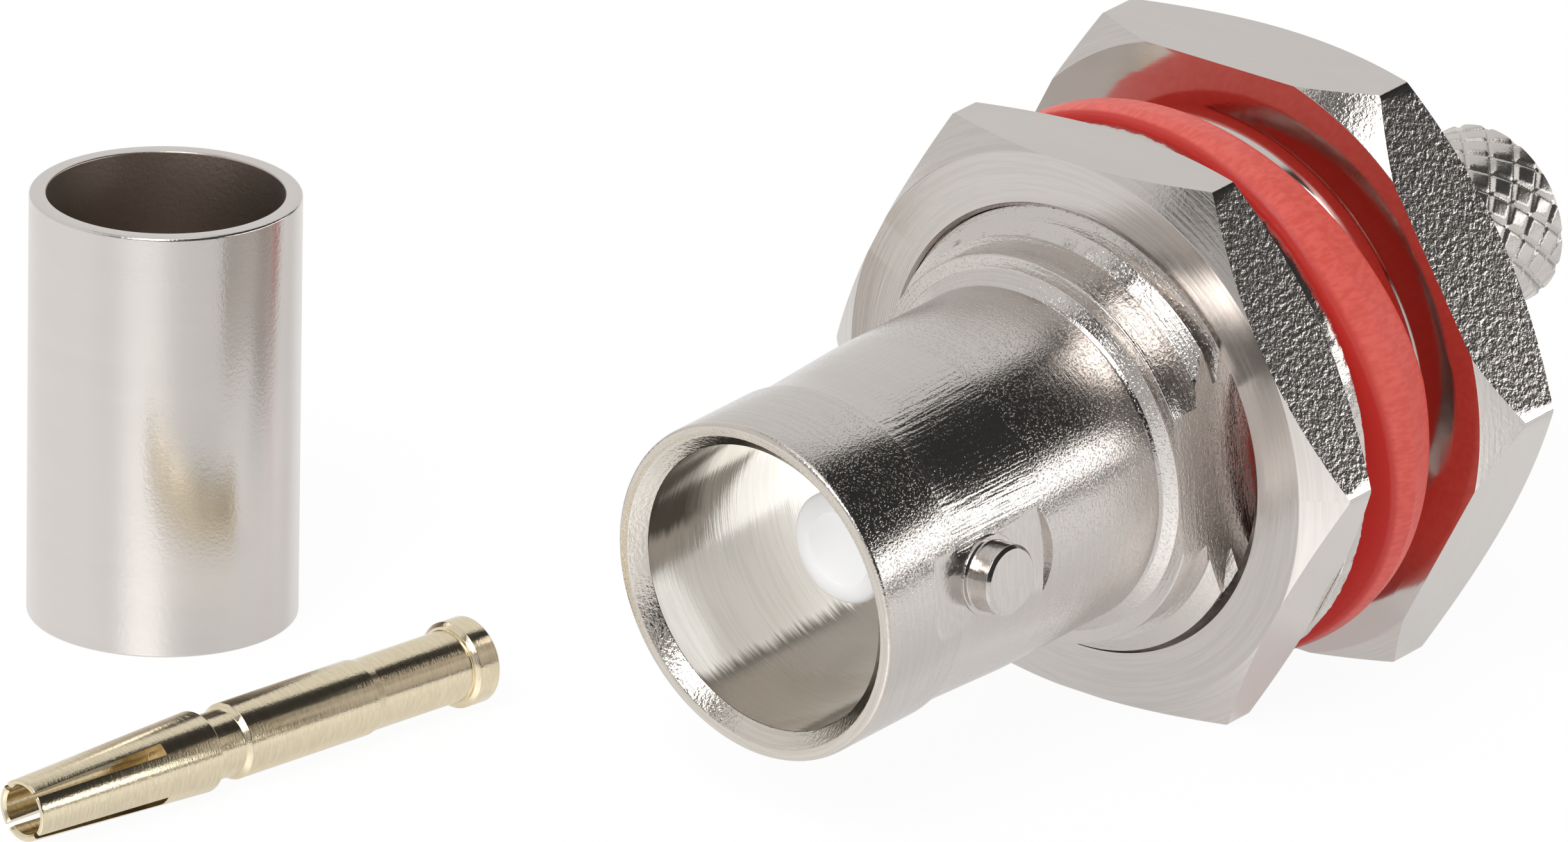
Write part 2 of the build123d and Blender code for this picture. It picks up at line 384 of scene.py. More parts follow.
class Graph:
    """The nodes of one material or of the world."""

    def __init__(self, tree: bpy.types.NodeTree) -> None:
        """Starts from an empty tree."""
        self.tree = tree
        tree.nodes.clear()

    def node(
        self,
        kind: str,
        settings: dict[str, object] | None = None,
        inputs: dict[str | int, object] | None = None,
    ) -> bpy.types.Node:
        """Adds a node.

        Args:
            kind: The node's type.
            settings: Its own settings, set first.
            inputs: Values or links of its sockets, by name or number.

        Returns:
            The node.
        """
        made = self.tree.nodes.new(kind)
        for name, value in (settings or {}).items():
            setattr(made, name, value)
        for key, value in (inputs or {}).items():
            socket = made.inputs[key]
            if isinstance(value, Signal):
                value = value.socket
            if isinstance(value, Socket):
                self.tree.links.new(value, socket)
            else:
                socket.default_value = value
        return made

    def math(self, operation: str, *values: Signal | float) -> Signal:
        """Adds a Math node and gives its result."""
        made = self.node("ShaderNodeMath", {"operation": operation}, dict(enumerate(values)))
        return Signal(self, made.outputs[0])

    def ramp(self, value: Signal, low: float, high: float) -> Signal:
        """A smooth step from 0 at low to 1 at high. It falls where low is above high.

        Args:
            value: The number that is compared.
            low: Where the step is 0.
            high: Where the step is 1.

        Returns:
            The step.
        """
        first, last = min(low, high), max(low, high)
        made = self.node(
            "ShaderNodeMapRange",
            {"interpolation_type": "SMOOTHSTEP"},
            {"Value": value, "From Min": first, "From Max": last},
        )
        rising = Signal(self, made.outputs["Result"])
        return rising if low <= high else 1 - rising

    def noise(
        self, at: Socket, scale: float, detail: float = 2.0, rough: float = 0.5
    ) -> Signal:
        """Noise from 0 to 1 at the given coordinates."""
        made = self.node(
            "ShaderNodeTexNoise",
            inputs={"Vector": at, "Scale": scale, "Detail": detail, "Roughness": rough},
        )
        return Signal(self, made.outputs["Fac"])

    def vector(self, x: Signal | float, y: Signal | float, z: Signal | float) -> Socket:
        """Three numbers as one vector."""
        return self.node("ShaderNodeCombineXYZ", inputs={"X": x, "Y": y, "Z": z}).outputs[0]

    def parts(self, vector: Socket) -> list[Signal]:
        """The three numbers of a vector."""
        split = self.node("ShaderNodeSeparateXYZ", inputs={0: vector})
        return [Signal(self, output) for output in split.outputs]

    def mix(self, factor: Signal, low: object, high: object) -> Socket:
        """A colour between two colours, each a Colour or another node's socket.

        Args:
            factor: Share of the second colour.
            low: The colour at 0.
            high: The colour at 1.

        Returns:
            The mixed colour.
        """
        low, high = ((*end, 1.0) if isinstance(end, tuple) else end for end in (low, high))
        made = self.node("ShaderNodeMix", {"data_type": "RGBA"}, {0: factor, 6: low, 7: high})
        return made.outputs[2]

    def bump(self, height: Signal) -> Socket:
        """The normal of a surface with this height in millimetres."""
        made = self.node("ShaderNodeBump", inputs={"Strength": 1.0, "Distance": MM, "Height": height})
        return made.outputs[0]

    def layered(self, share: object, under: bpy.types.Node, over: bpy.types.Node) -> bpy.types.Node:
        """One shader over another, which shows by the given share."""
        layers = {0: share, 1: under.outputs[0], 2: over.outputs[0]}
        return self.node("ShaderNodeMixShader", inputs=layers)

    def finish(self, shader: bpy.types.Node, kind: str = "Material") -> None:
        """Links a shader to the output of a material or of the world."""
        self.node(f"ShaderNodeOutput{kind}", inputs={"Surface": shader.outputs[0]})


def empty_material(name: str) -> tuple[bpy.types.Material, Graph]:
    """Makes a material with an empty node graph.

    Args:
        name: The material's name.

    Returns:
        The material and its graph.
    """
    material = bpy.data.materials.new(name)
    material.use_nodes = True
    return material, Graph(material.node_tree)


@dataclass(frozen=True)
class AxisView:
    """A point's coordinates along a piece's own axis, in millimetres, as signals."""

    along: Signal
    up: Signal
    radius: Signal
    angle: Signal
    point: Socket


def axis_view(graph: Graph, place: Place) -> AxisView:
    """Reads Object coordinates along a piece's own axis.

    Args:
        graph: The material's nodes.
        place: Where the piece lies.

    Returns:
        Station, height, radius and angle of the shaded point, and the point itself.
    """
    seen = graph.node("ShaderNodeTexCoord").outputs["Object"]
    local = graph.node(
        "ShaderNodeMapping",
        {"vector_type": "TEXTURE"},
        {
            "Vector": seen,
            "Location": place.origin,
            "Rotation": place.matrix.to_euler()[:],
            "Scale": (MM, MM, MM),
        },
    ).outputs[0]
    along, across, up = graph.parts(local)
    radius = graph.math("SQRT", across * across + up * up)
    return AxisView(along, up, radius, graph.math("ARCTAN2", up, across), local)


def shaded(colour: Colour, share: float) -> Colour:
    """A colour with only this share of its light."""
    return tuple(part * share for part in colour)


@dataclass(frozen=True)
class Finish:
    """A surface finish. Each kind says what goes into the shader's sockets."""

    name: str

    def inputs(self, graph: Graph, view: AxisView) -> dict[str | int, object]:
        """Works out the values and links of the shader's sockets.

        Args:
            graph: The material's nodes.
            view: The shaded point along the piece's axis.

        Returns:
            The values and links, by socket.
        """
        raise NotImplementedError

    def build(self, place: Place) -> bpy.types.Material:
        """Makes the material for a piece that lies in this place.

        Args:
            place: Where the piece's axis lies.

        Returns:
            The material.
        """
        material, graph = empty_material(self.name)
        inputs = self.inputs(graph, axis_view(graph, place))
        graph.finish(graph.node("ShaderNodeBsdfPrincipled", inputs=inputs))
        return material


@dataclass(frozen=True)
class Plating(Finish):
    """A plated metal with tool marks round its axis and a fine grain.

    Sizes are in millimetres. Depths are heights of the marks that the bump stands for. Edges are
    the noise values between which a mark fades in.
    """

    colour: Colour
    roughness: float
    line_pitch: float = 0.08
    line_depth: float = 0.0006
    line_run: float = 2.0
    line_tint: float = 0.0
    line_dulling: float = 0.06
    line_edges: Point = (0.40, 0.60)
    grain_size: float = 0.12
    grain_depth: float = 0.0
    speck_size: float = 0.09
    speck_depth: float = 0.0
    speck_edges: Point = (0.56, 0.70)
    stroke_pitch: float = 0.11
    stroke_depth: float = 0.0
    stroke_radius: float = 4.8
    stroke_run: float = 0.8
    mottle: float = 1.7
    mottle_run: float = 1.2
    tint_spread: float = 0.05

    def tint(self, graph: Graph, view: AxisView, lines: Signal) -> Socket:
        """Varies the colour a little over the piece, and darkens some of the tool marks.

        Args:
            graph: The material's nodes.
            view: The shaded point along the piece's axis.
            lines: The tool marks, from 0 to 1.

        Returns:
            The colour.
        """
        mottle_at = graph.vector(
            view.along * self.mottle, view.radius * self.mottle, view.angle * self.mottle_run
        )
        dark = shaded(self.colour, 1 - self.tint_spread)
        colour = graph.mix(graph.noise(mottle_at, 1.0), dark, self.colour)
        if self.line_tint:
            deep = shaded(self.colour, 1 - self.line_tint)
            colour = graph.mix(graph.ramp(lines, *self.line_edges), deep, colour)
        return colour

    def height(self, graph: Graph, view: AxisView, lines: Signal) -> Signal:
        """Adds up the heights of tool marks, grain, specks and the mill's strokes along the axis.

        Args:
            graph: The material's nodes.
            view: The shaded point along the piece's axis.
            lines: The tool marks, from 0 to 1.

        Returns:
            The height in millimetres.
        """
        height = lines * self.line_depth
        if self.grain_depth:
            height = height + graph.noise(view.point, 1 / self.grain_size, 2.0, 0.6) * self.grain_depth
        if self.speck_depth:
            specks = graph.noise(view.point, 1 / self.speck_size, 1.0)
            height = height + graph.ramp(specks, *self.speck_edges) * self.speck_depth
        if self.stroke_depth:
            strokes_a_radian = self.stroke_radius / self.stroke_pitch
            strokes_at = graph.vector(view.along * self.stroke_run, view.angle * strokes_a_radian, 0.0)
            height = height + graph.noise(strokes_at, 1.0, 1.0) * self.stroke_depth
        return height

    def inputs(self, graph: Graph, view: AxisView) -> dict[str | int, object]:
        """Metal, with its tool marks in colour, roughness and height.

        Args:
            graph: The material's nodes.
            view: The shaded point along the piece's axis.

        Returns:
            The values and links, by socket.
        """
        lines_at = graph.vector(
            view.along / self.line_pitch, view.radius / self.line_pitch, view.angle * self.line_run
        )
        lines = graph.noise(lines_at, 1.0, 3.5, 0.68)
        return {
            "Base Color": self.tint(graph, view, lines),
            "Metallic": 1.0,
            "Roughness": self.roughness + lines * self.line_dulling,
            "Normal": graph.bump(self.height(graph, view, lines)),
        }


@dataclass(frozen=True)
class BorePlating(Plating):
    """The bore's plating, with painted shade along its bottom and on the +Y side of its mouth.

    Edges are angles about the axis in radians. They and the mouth's reach fade over their blur, and
    follow the tool marks by their waver.
    """

    # Painted shade: the colour of the bore where its shade and dark reflections are painted in.
    dull: Colour = (0.15, 0.13, 0.11)
    painted_shade_share: float = 0.9
    bottom_edge: float = math.radians(-55)
    side_edge: float = math.radians(4)
    edge_blur: float = 0.06
    edge_waver: float = 0.22
    mouth_reach: float = 2.1
    mouth_blur: float = 0.7
    mouth_waver: float = 1.2

    def tint(self, graph: Graph, view: AxisView, lines: Signal) -> Socket:
        """Paints shade over the bright plating along the bottom and on the +Y side of the mouth.

        Args:
            graph: The material's nodes.
            view: The shaded point along the piece's axis.
            lines: The tool marks, from 0 to 1.

        Returns:
            The colour.
        """
        plain = super().tint(graph, view, lines)
        waver = lines - 0.5
        angle = view.angle + waver * self.edge_waver
        reach = view.along + waver * self.mouth_waver
        # Painted shade: darker along the bottom and on the +Y side of the mouth, blended over the
        # plating.
        bottom = graph.ramp(angle, self.bottom_edge + self.edge_blur, self.bottom_edge - self.edge_blur)
        side = graph.ramp(angle, self.side_edge - self.edge_blur, self.side_edge + self.edge_blur)
        mouth = graph.ramp(reach, self.mouth_reach + self.mouth_blur, self.mouth_reach - self.mouth_blur)
        painted_shade_mask = graph.math("MAXIMUM", bottom, side * mouth) * self.painted_shade_share
        return graph.mix(painted_shade_mask, plain, self.dull)


NICKEL: Colour = (0.67, 0.63, 0.60)
GOLD: Colour = (0.88, 0.77, 0.56)


def tumbled(name: str) -> Plating:
    """The pebbled nickel of a hexagon's flats."""
    return Plating(name, NICKEL, 0.07, line_depth=0.0, grain_depth=0.0062, grain_size=0.17)


@dataclass(frozen=True)
class Silicone(Finish):
    """Red silicone rubber with faint mould streaks, with painted shade on its front face and towards the
    bottom.

    Its glow is painted light, an emission that stands for the light inside the rubber. Heights are in
    millimetres.
    """

    name: str = "red_silicone"
    colour: Colour = (0.24, 0.062, 0.048)
    pale_colour: Colour = (0.315, 0.0925, 0.075)
    # Painted light: the rubber's emission, standing in for light passing through it.
    glow: Colour = (0.36, 0.018, 0.013)
    streak_density: Triple = (2.2, 5.0, 60.0)
    streak_edges: Point = (0.35, 0.65)
    # Painted shade: the glow dims towards the bottom, and the front face gets a darker colour and glow.
    bottom_shade_share: float = 0.3
    bottom_shade_heights: Point = (-8.2, -4.0)
    front_shade_colour: Colour = (0.20, 0.018, 0.014)
    front_shade_glow: Colour = (0.27, 0.010, 0.008)
    front_facing: Point = (-0.35, -0.8)
    roughness: float = 0.38
    streak_depth: float = 0.006
    dust_scale: float = 14.0
    dust_depth: float = 0.007
    dust_dulling: float = 0.15

    def inputs(self, graph: Graph, view: AxisView) -> dict[str | int, object]:
        """Streaked rubber, mixed between its front and its other sides.

        Args:
            graph: The material's nodes.
            view: The shaded point along the piece's axis.

        Returns:
            The values and links, by socket.
        """
        along, outwards, around = self.streak_density
        streaks_at = graph.vector(view.along * along, view.radius * outwards, view.angle * around)
        streaks = graph.noise(streaks_at, 1.0, 3.0)
        dust = graph.noise(view.point, self.dust_scale)
        colour = graph.mix(graph.ramp(streaks, *self.streak_edges), self.colour, self.pale_colour)
        # Painted shade: less glow towards the bottom.
        lit = graph.ramp(view.up, *self.bottom_shade_heights)
        glow = graph.mix(lit, shaded(self.glow, self.bottom_shade_share), self.glow)
        # Painted shade: the front face, found by its normal, takes the darker colour and glow.
        normal = graph.node("ShaderNodeNewGeometry").outputs["Normal"]
        front = graph.ramp(graph.parts(normal)[0], *self.front_facing)
        return {
            "Base Color": graph.mix(front, colour, self.front_shade_colour),
            "Roughness": self.roughness + dust * self.dust_dulling,
            # Painted light: the emission, with painted shade on the front face and towards the bottom.
            "Emission Color": graph.mix(front, glow, self.front_shade_glow),
            "Emission Strength": 1.0,
            "Normal": graph.bump(streaks * self.streak_depth + dust * self.dust_depth),
        }


@dataclass(frozen=True)
class Fluoroplastic(Finish):
    """White turned insulator plastic, waxy and slightly translucent, with a painted glow that stands in
    for light.
    """

    name: str = "white_ptfe"
    colour: Colour = (0.95, 0.95, 0.95)
    mark_shade: float = 0.97
    mark_density: float = 9.0
    mark_depth: float = 0.003
    mark_dulling: float = 0.1
    roughness: float = 0.35
    translucence: float = 0.7
    # Painted light: an emission on a part that is no lamp.
    glow: float = 0.16
    glow_colour: Colour = (1.0, 0.995, 1.0)

    def inputs(self, graph: Graph, view: AxisView) -> dict[str | int, object]:
        """Waxy plastic with fine turning marks.

        Args:
            graph: The material's nodes.
            view: The shaded point along the piece's axis.

        Returns:
            The values and links, by socket.
        """
        density = self.mark_density
        marks_at = graph.vector(view.along * density, view.radius * density, view.angle)
        marks = graph.noise(marks_at, 1.0)
        return {
            "Base Color": graph.mix(marks, shaded(self.colour, self.mark_shade), self.colour),
            "Roughness": self.roughness + marks * self.mark_dulling,
            "Subsurface Weight": self.translucence,
            "Subsurface Radius": (MM, MM, MM),
            "Subsurface Scale": 1.0,
            "Emission Color": (*self.glow_colour, 1.0),
            "Emission Strength": self.glow,
            "Normal": graph.bump(marks * self.mark_depth),
        }


class Surface(Enum):
    """The ways in which a face of a piece was made, each with its own finish."""

    TURNED = "turned"
    MILLED = "milled"
    BORED = "bored"
    THREADED = "threaded"
    FACED = "faced"
    TUMBLED = "tumbled"
    SPOT_FACED = "spot faced"
    CHAMFERED = "chamfered"
    LIP = "lip"


Chooser = Callable[[Vector, Vector], Surface]


def hexagon_surface(normal: Vector) -> Surface:
    """Tells a hexagon's flats, its end faces and the chamfers between them apart.

    Args:
        normal: The way a face looks.

    Returns:
        The face's surface.
    """
    if abs(normal.x) > END_ON:
        return Surface.FACED
    return Surface.TUMBLED if abs(normal.x) < EDGE_ON else Surface.CHAMFERED


def complete(
    piece: Solid,
    place: Place,
    finishes: dict[Surface, Finish],
    choose: Chooser | None = None,
    sharp_angle: float = SHARP_ANGLE,
) -> Solid:
    """Dresses and smooths a piece in its own millimetres, then lays it down in the frame.

    Args:
        piece: The modelled piece.
        place: Where its axis lies.
        finishes: Its finishes.
        choose: Picks a surface from a face's centre and normal.
        sharp_angle: Edges sharper than this stay sharp.

    Returns:
        The finished piece.
    """
    slots = {surface: number for number, surface in enumerate(finishes)}
    piece.data.materials.clear()
    for finish in finishes.values():
        piece.data.materials.append(finish.build(place))
    if choose is not None:
        for face in piece.data.polygons:
            face.material_index = slots[choose(face.center, face.normal)]
    Bench.take(piece)
    bpy.ops.object.shade_smooth_by_angle(angle=sharp_angle)
    Bench.turned_by(piece, place.matrix)
    return piece


@dataclass
class PanelThread:
    """The shell's panel thread, and the same thread as a cutter for the nut."""

    pitch: float = 25.4 / 28
    crest_radius: float = 6.35
    root_radius: float = 5.80
    crest_width: float = 0.11
    root_width: float = 0.17
    segments: int = 256

    def solid(self, name: str, front: float, rear: float, growth: float = 0.0) -> Solid:
        """Screws the thread's profile round the axis and trims it to length.

        Args:
            name: Name of the new object.
            front: Station of its front end.
            rear: Station of its rear end.
            growth: How much further out it lies than the true thread.

        Returns:
            A closed threaded rod.
        """
        flank = (self.pitch - self.crest_width - self.root_width) / 2
        first_turn = math.floor(front / self.pitch) - 2
        turns = math.ceil(rear / self.pitch) - first_turn + 1
        points: list[Point] = []
        for turn in range(turns):
            start = (first_turn + turn) * self.pitch
            root = self.root_radius + growth
            crest = self.crest_radius + growth
            points += [
                (start, root),
                (start + self.root_width, root),
                (start + self.root_width + flank, crest),
                (start + self.root_width + flank + self.crest_width, crest),
            ]
        points.append(((first_turn + turns) * self.pitch, self.root_radius + growth))
        piece = Bench.wire(name, points)
        winding = piece.modifiers.new("winding", "SCREW")
        winding.axis = "X"
        winding.steps = winding.render_steps = self.segments
        winding.screw_offset = self.pitch
        winding.use_smooth_shade = True
        Bench.take(piece)
        bpy.ops.object.modifier_apply(modifier=winding.name)
        bpy.ops.object.mode_set(mode="EDIT")
        bpy.ops.mesh.select_all(action="SELECT")
        bpy.ops.mesh.remove_doubles(threshold=MERGE_GAP)
        for station, outwards in ((front, -1), (rear, 1)):
            bpy.ops.mesh.select_all(action="SELECT")
            bpy.ops.mesh.bisect(
                plane_co=(station, 0, 0),
                plane_no=(outwards, 0, 0),
                use_fill=True,
                clear_outer=True,
            )
        Bench.heal()
        bpy.ops.object.mode_set(mode="OBJECT")
        return piece


@dataclass(frozen=True)
class Chamfer:
    """A turned chamfer on one face of a hexagon: where it starts, its run per radius, its edge."""

    radius: float
    slope: float
    rounding: float


@dataclass(frozen=True)
class HexagonBlank:
    """A length of hexagon bar along X with a turned chamfer on each face."""

    front: float
    thickness: float
    across: float
    front_chamfer: Chamfer
    rear_chamfer: Chamfer
    edge: float = 0.12
    allowance: float = 0.4

    def build(self, name: str, segments: int) -> Solid:
        """Cuts the bar off and turns its chamfers.

        Args:
            name: Name of the new object.
            segments: Number of faces round a chamfer.

        Returns:
            The blank.
        """
        piece = Bench.hexagon(name, self.front, self.thickness, self.across, self.edge)
        rear = self.front + self.thickness
        corner = self.across / 2 / math.cos(HEXAGON_HALF) + self.allowance
        first, last = self.front_chamfer, self.rear_chamfer
        corners = [
            Corner(self.front, 0.0),
            Corner(self.front, first.radius, first.rounding),
            Corner(self.front + (corner - first.radius) * first.slope, corner),
            Corner(rear - (corner - last.radius) * last.slope, corner),
            Corner(rear, last.radius, last.rounding),
            Corner(rear, 0.0),
        ]
        Bench.cut_turned(piece, outline(corners, closed=False), segments, Cut.KEEP_INSIDE)
        return piece


def stretch(vertex: bpy.types.MeshVertex, factor: float) -> None:
    """Moves a point out from the X axis or in towards it."""
    vertex.co.y *= factor
    vertex.co.z *= factor


@dataclass
class Shell:
    """Barrel, lugs, collar, thread and flange: one turned and milled piece.

    Sizes are in millimetres. Stations run back along the axis from the barrel's front, and the lip
    stands a little before it. The margin is how far a face may lie from a limit and still count.
    """

    barrel_radius: float = 4.825
    bore_radius: float = 4.08
    bore_depth: float = 8.4
    lip_front: float = -0.30
    lip_chamfer: float = 0.40
    lip_round: float = 0.14
    waist_front: float = 2.75
    waist_rear: float = 6.60
    waist_radius: float = 4.725
    rear_barrel_radius: float = 4.87
    barrel_length: float = 10.85
    lug_station: float = 3.97
    lug_radius: float = 0.98
    lug_end: float = 5.5
    foot_radius: float = 1.12
    spot_radius: float = 2.42
    spot_distance: float = 4.68
    index_angle: float = math.radians(3)
    collar_foot: float = 0.35
    collar_radius: float = 5.62
    collar_length: float = 0.96
    flat_distance: float = 5.25
    thread_rear: float = 17.7
    neck_radius: float = 6.28
    neck_fillet: float = 0.8
    flange_front: float = 19.57
    flange_thickness: float = 2.98
    flange_across: float = 17.0
    flange_front_chamfer: float = 8.9
    flange_rear_chamfer: float = 8.4
    rear_slope: float = 0.65
    web_rear: float = 9.0
    web_hole_radius: float = 2.4
    rear_bore_radius: float = 3.3
    neck_wall: float = 1.6
    neck_bulge: float = 0.6
    run_out: float = 0.2
    lead_length: float = 0.45
    core_radius: float = 5.2
    overlap: float = 0.3
    lug_root: float = 0.25
    lug_foot: float = 0.06
    lug_chamfer: float = 0.1
    step_run: float = 0.03
    waist_step: float = 0.045
    waist_run: float = 0.8
    waist_sweep: float = 8.0
    barrel_sweep: float = 12.0
    relief: float = 0.06
    relief_run: float = 0.08
    margin: float = 0.02
    segments: int = 256
    bore_segments: int = 128
    lug_segments: int = 96
    spot_segments: int = 160

    @property
    def collar_front(self) -> float:
        """Station of the collar's front face."""
        return self.barrel_length + self.collar_foot

    @property
    def thread_front(self) -> float:
        """Station where the thread starts."""
        return self.collar_front + self.collar_length

    @property
    def flange_rear(self) -> float:
        """Station of the flange's rear face."""
        return self.flange_front + self.flange_thickness

    def turned_body(self) -> Solid:
        """Turns the barrel with its bore, and the sleeve that carries the thread.

        Returns:
            The barrel and sleeve.
        """
        sleeve_end = self.flange_front + 0.5
        rear_radius = self.rear_barrel_radius
        corners = [
            Corner(self.bore_depth, self.web_hole_radius),
            Corner(self.bore_depth, self.bore_radius, 0.08),
            Corner(self.lip_front + self.lip_chamfer, self.bore_radius, 0.05),
            Corner(self.lip_front, self.bore_radius + self.lip_chamfer, 0.08),
            Corner(self.lip_front, self.barrel_radius, self.lip_round),
            Corner(self.waist_front, self.barrel_radius, 0.03),
            Corner(self.waist_front + self.step_run, self.barrel_radius - self.waist_step, 0.02),
            Corner(self.waist_front + self.waist_run, self.waist_radius, self.waist_sweep),
            Corner(self.waist_rear, rear_radius, self.barrel_sweep),
            Corner(self.barrel_length - self.relief_run, rear_radius, 0.02),
            Corner(self.barrel_length, rear_radius - self.relief, 0.03),
            Corner(self.barrel_length + 0.1, rear_radius + 0.02, 0.06),
            Corner(self.collar_front, rear_radius + self.collar_foot, 0.05),
            Corner(self.collar_front, self.collar_radius, 0.05),
            Corner(sleeve_end, self.collar_radius),
            Corner(sleeve_end, self.rear_bore_radius),
            Corner(self.web_rear, self.rear_bore_radius),
            Corner(self.web_rear, self.web_hole_radius),
        ]
        return Bench.turn("shell_body", outline(corners), self.segments)

    def lug(self, side: int) -> Solid:
        """Turns one bayonet lug on its own axis and stands it on its side of the barrel.

        Args:
            side: 1 for the lug on +Y and -1 for the other.

        Returns:
            The lug.
        """
        root = self.bore_radius + self.lug_root
        foot = self.spot_distance + self.lug_foot
        corners = [
            Corner(root, 0.0),
            Corner(root, self.foot_radius),
            Corner(foot, self.foot_radius, 0.02),
            Corner(foot, self.lug_radius, 0.03),
            Corner(self.lug_end - self.lug_chamfer, self.lug_radius, 0.03),
            Corner(self.lug_end, self.lug_radius - self.lug_chamfer, 0.03),
            Corner(self.lug_end, 0.0),
        ]
        lug = Bench.turn("lug", outline(corners, closed=False), self.lug_segments, closed=False)
        turn = Matrix.Rotation(side * RIGHT_ANGLE, 4, "Z")
        Bench.turned_by(lug, Matrix.Translation((self.lug_station, 0, 0)) @ turn)
        return lug

    def spot_cutter(self, side: int) -> Solid:
        """Makes the end mill's path for one lug's round flat.

        Args:
            side: 1 for the flat on +Y and -1 for the other.

        Returns:
            The cutter.
        """
        depth = 2.0
        middle = (self.lug_station, side * (self.spot_distance + depth / 2), 0)
        return Bench.cylinder(self.spot_segments, self.spot_radius, depth, middle, (RIGHT_ANGLE, 0, 0))

    def thread(self) -> Solid:
        """Screws the thread, turns its lead-in and the neck, and bores it for the sleeve.

        Returns:
            The threaded sleeve with its neck.
        """
        form = PanelThread(segments=self.segments)
        front, rear = self.thread_front, self.thread_rear
        piece = form.solid("thread", front, rear)
        lead = [
            Corner(front - self.run_out, 0.0),
            Corner(front - self.run_out, form.root_radius),
            Corner(front, form.root_radius + 0.06),
            Corner(front + self.lead_length, form.crest_radius + 0.01, 0.05),
            Corner(rear + self.run_out, form.crest_radius + 0.01),
            Corner(rear + self.run_out, 0.0),
        ]
        Bench.cut_turned(piece, outline(lead, closed=False), self.segments, Cut.KEEP_INSIDE)
        root = self.flange_front + self.overlap
        bulge = self.neck_bulge * self.neck_fillet
        wall = self.neck_radius + self.neck_wall
        neck = [
            Corner(rear - 0.05, 0.0),
            Corner(rear - 0.05, self.neck_radius - self.overlap),
            Corner(rear + self.run_out, self.neck_radius, 0.1),
            Corner(self.flange_front - bulge, self.neck_radius, self.neck_fillet),
            Corner(self.flange_front, self.neck_radius + bulge, self.neck_fillet),
            Corner(self.flange_front, wall),
            Corner(root, wall),
            Corner(root, 0.0),
        ]
        Bench.cut_turned(piece, outline(neck, closed=False), self.segments, Cut.ADD)
        core = rod(front - 1, root + 1, self.core_radius)
        Bench.cut_turned(piece, core, self.bore_segments, Cut.REMOVE)
        return piece

    def flat_cutter(self) -> Solid:
        """Makes the mill's path for the flat side of collar and thread.

        Returns:
            The cutter.
        """
        reach = 3.0
        front = self.collar_front - self.overlap
        middle = ((front + self.thread_rear) / 2, -self.flat_distance - reach / 2, 0)
        return Bench.block(middle, (self.thread_rear - front, reach, 4 * reach))

    def flange(self) -> Solid:
        """Makes the rear hexagon with a turned chamfer on each side and the stem's bore.

        Returns:
            The flange.
        """
        front = Chamfer(self.flange_front_chamfer, 1.0, 0.04)
        rear = Chamfer(self.flange_rear_chamfer, self.rear_slope, 0.05)
        blank = HexagonBlank(self.flange_front, self.flange_thickness, self.flange_across, front, rear)
        piece = blank.build("flange", self.segments)
        bore = rod(self.flange_front - 1, self.flange_rear + 1, self.rear_bore_radius)
        Bench.cut_turned(piece, bore, self.bore_segments, Cut.REMOVE)
        return piece

    def finish_of(self, centre: Vector, normal: Vector) -> Surface:
        """Tells the machined surfaces apart by a face's place and by the way it faces.

        Args:
            centre: The face's centre.
            normal: The way it faces.

        Returns:
            The face's surface.
        """
        radius = axis_distance(centre)
        lug_way = math.hypot(centre.x - self.lug_station, centre.z)
        if centre.x > self.flange_front - self.margin:
            return hexagon_surface(normal)
        if centre.x > self.collar_front - self.margin / 2:
            return Surface.FACED if centre.x > self.thread_rear + 0.1 else Surface.THREADED
        if centre.x < self.lip_front + self.lip_chamfer and normal.x < -0.15:
            return Surface.LIP
        if radius < self.bore_radius + 0.1:
            return Surface.BORED
        on_spot = abs(centre.y) > self.spot_distance - self.margin / 2
        if on_spot and lug_way < self.spot_radius - self.margin:
            cut_flat = abs(normal.y) > 0.995 or radius > self.spot_distance + self.overlap
            if cut_flat or lug_way < self.foot_radius + self.margin:
                return Surface.SPOT_FACED
        if self.waist_front + self.margin < centre.x < self.waist_rear - 1.2:
            return Surface.MILLED
        return Surface.TURNED

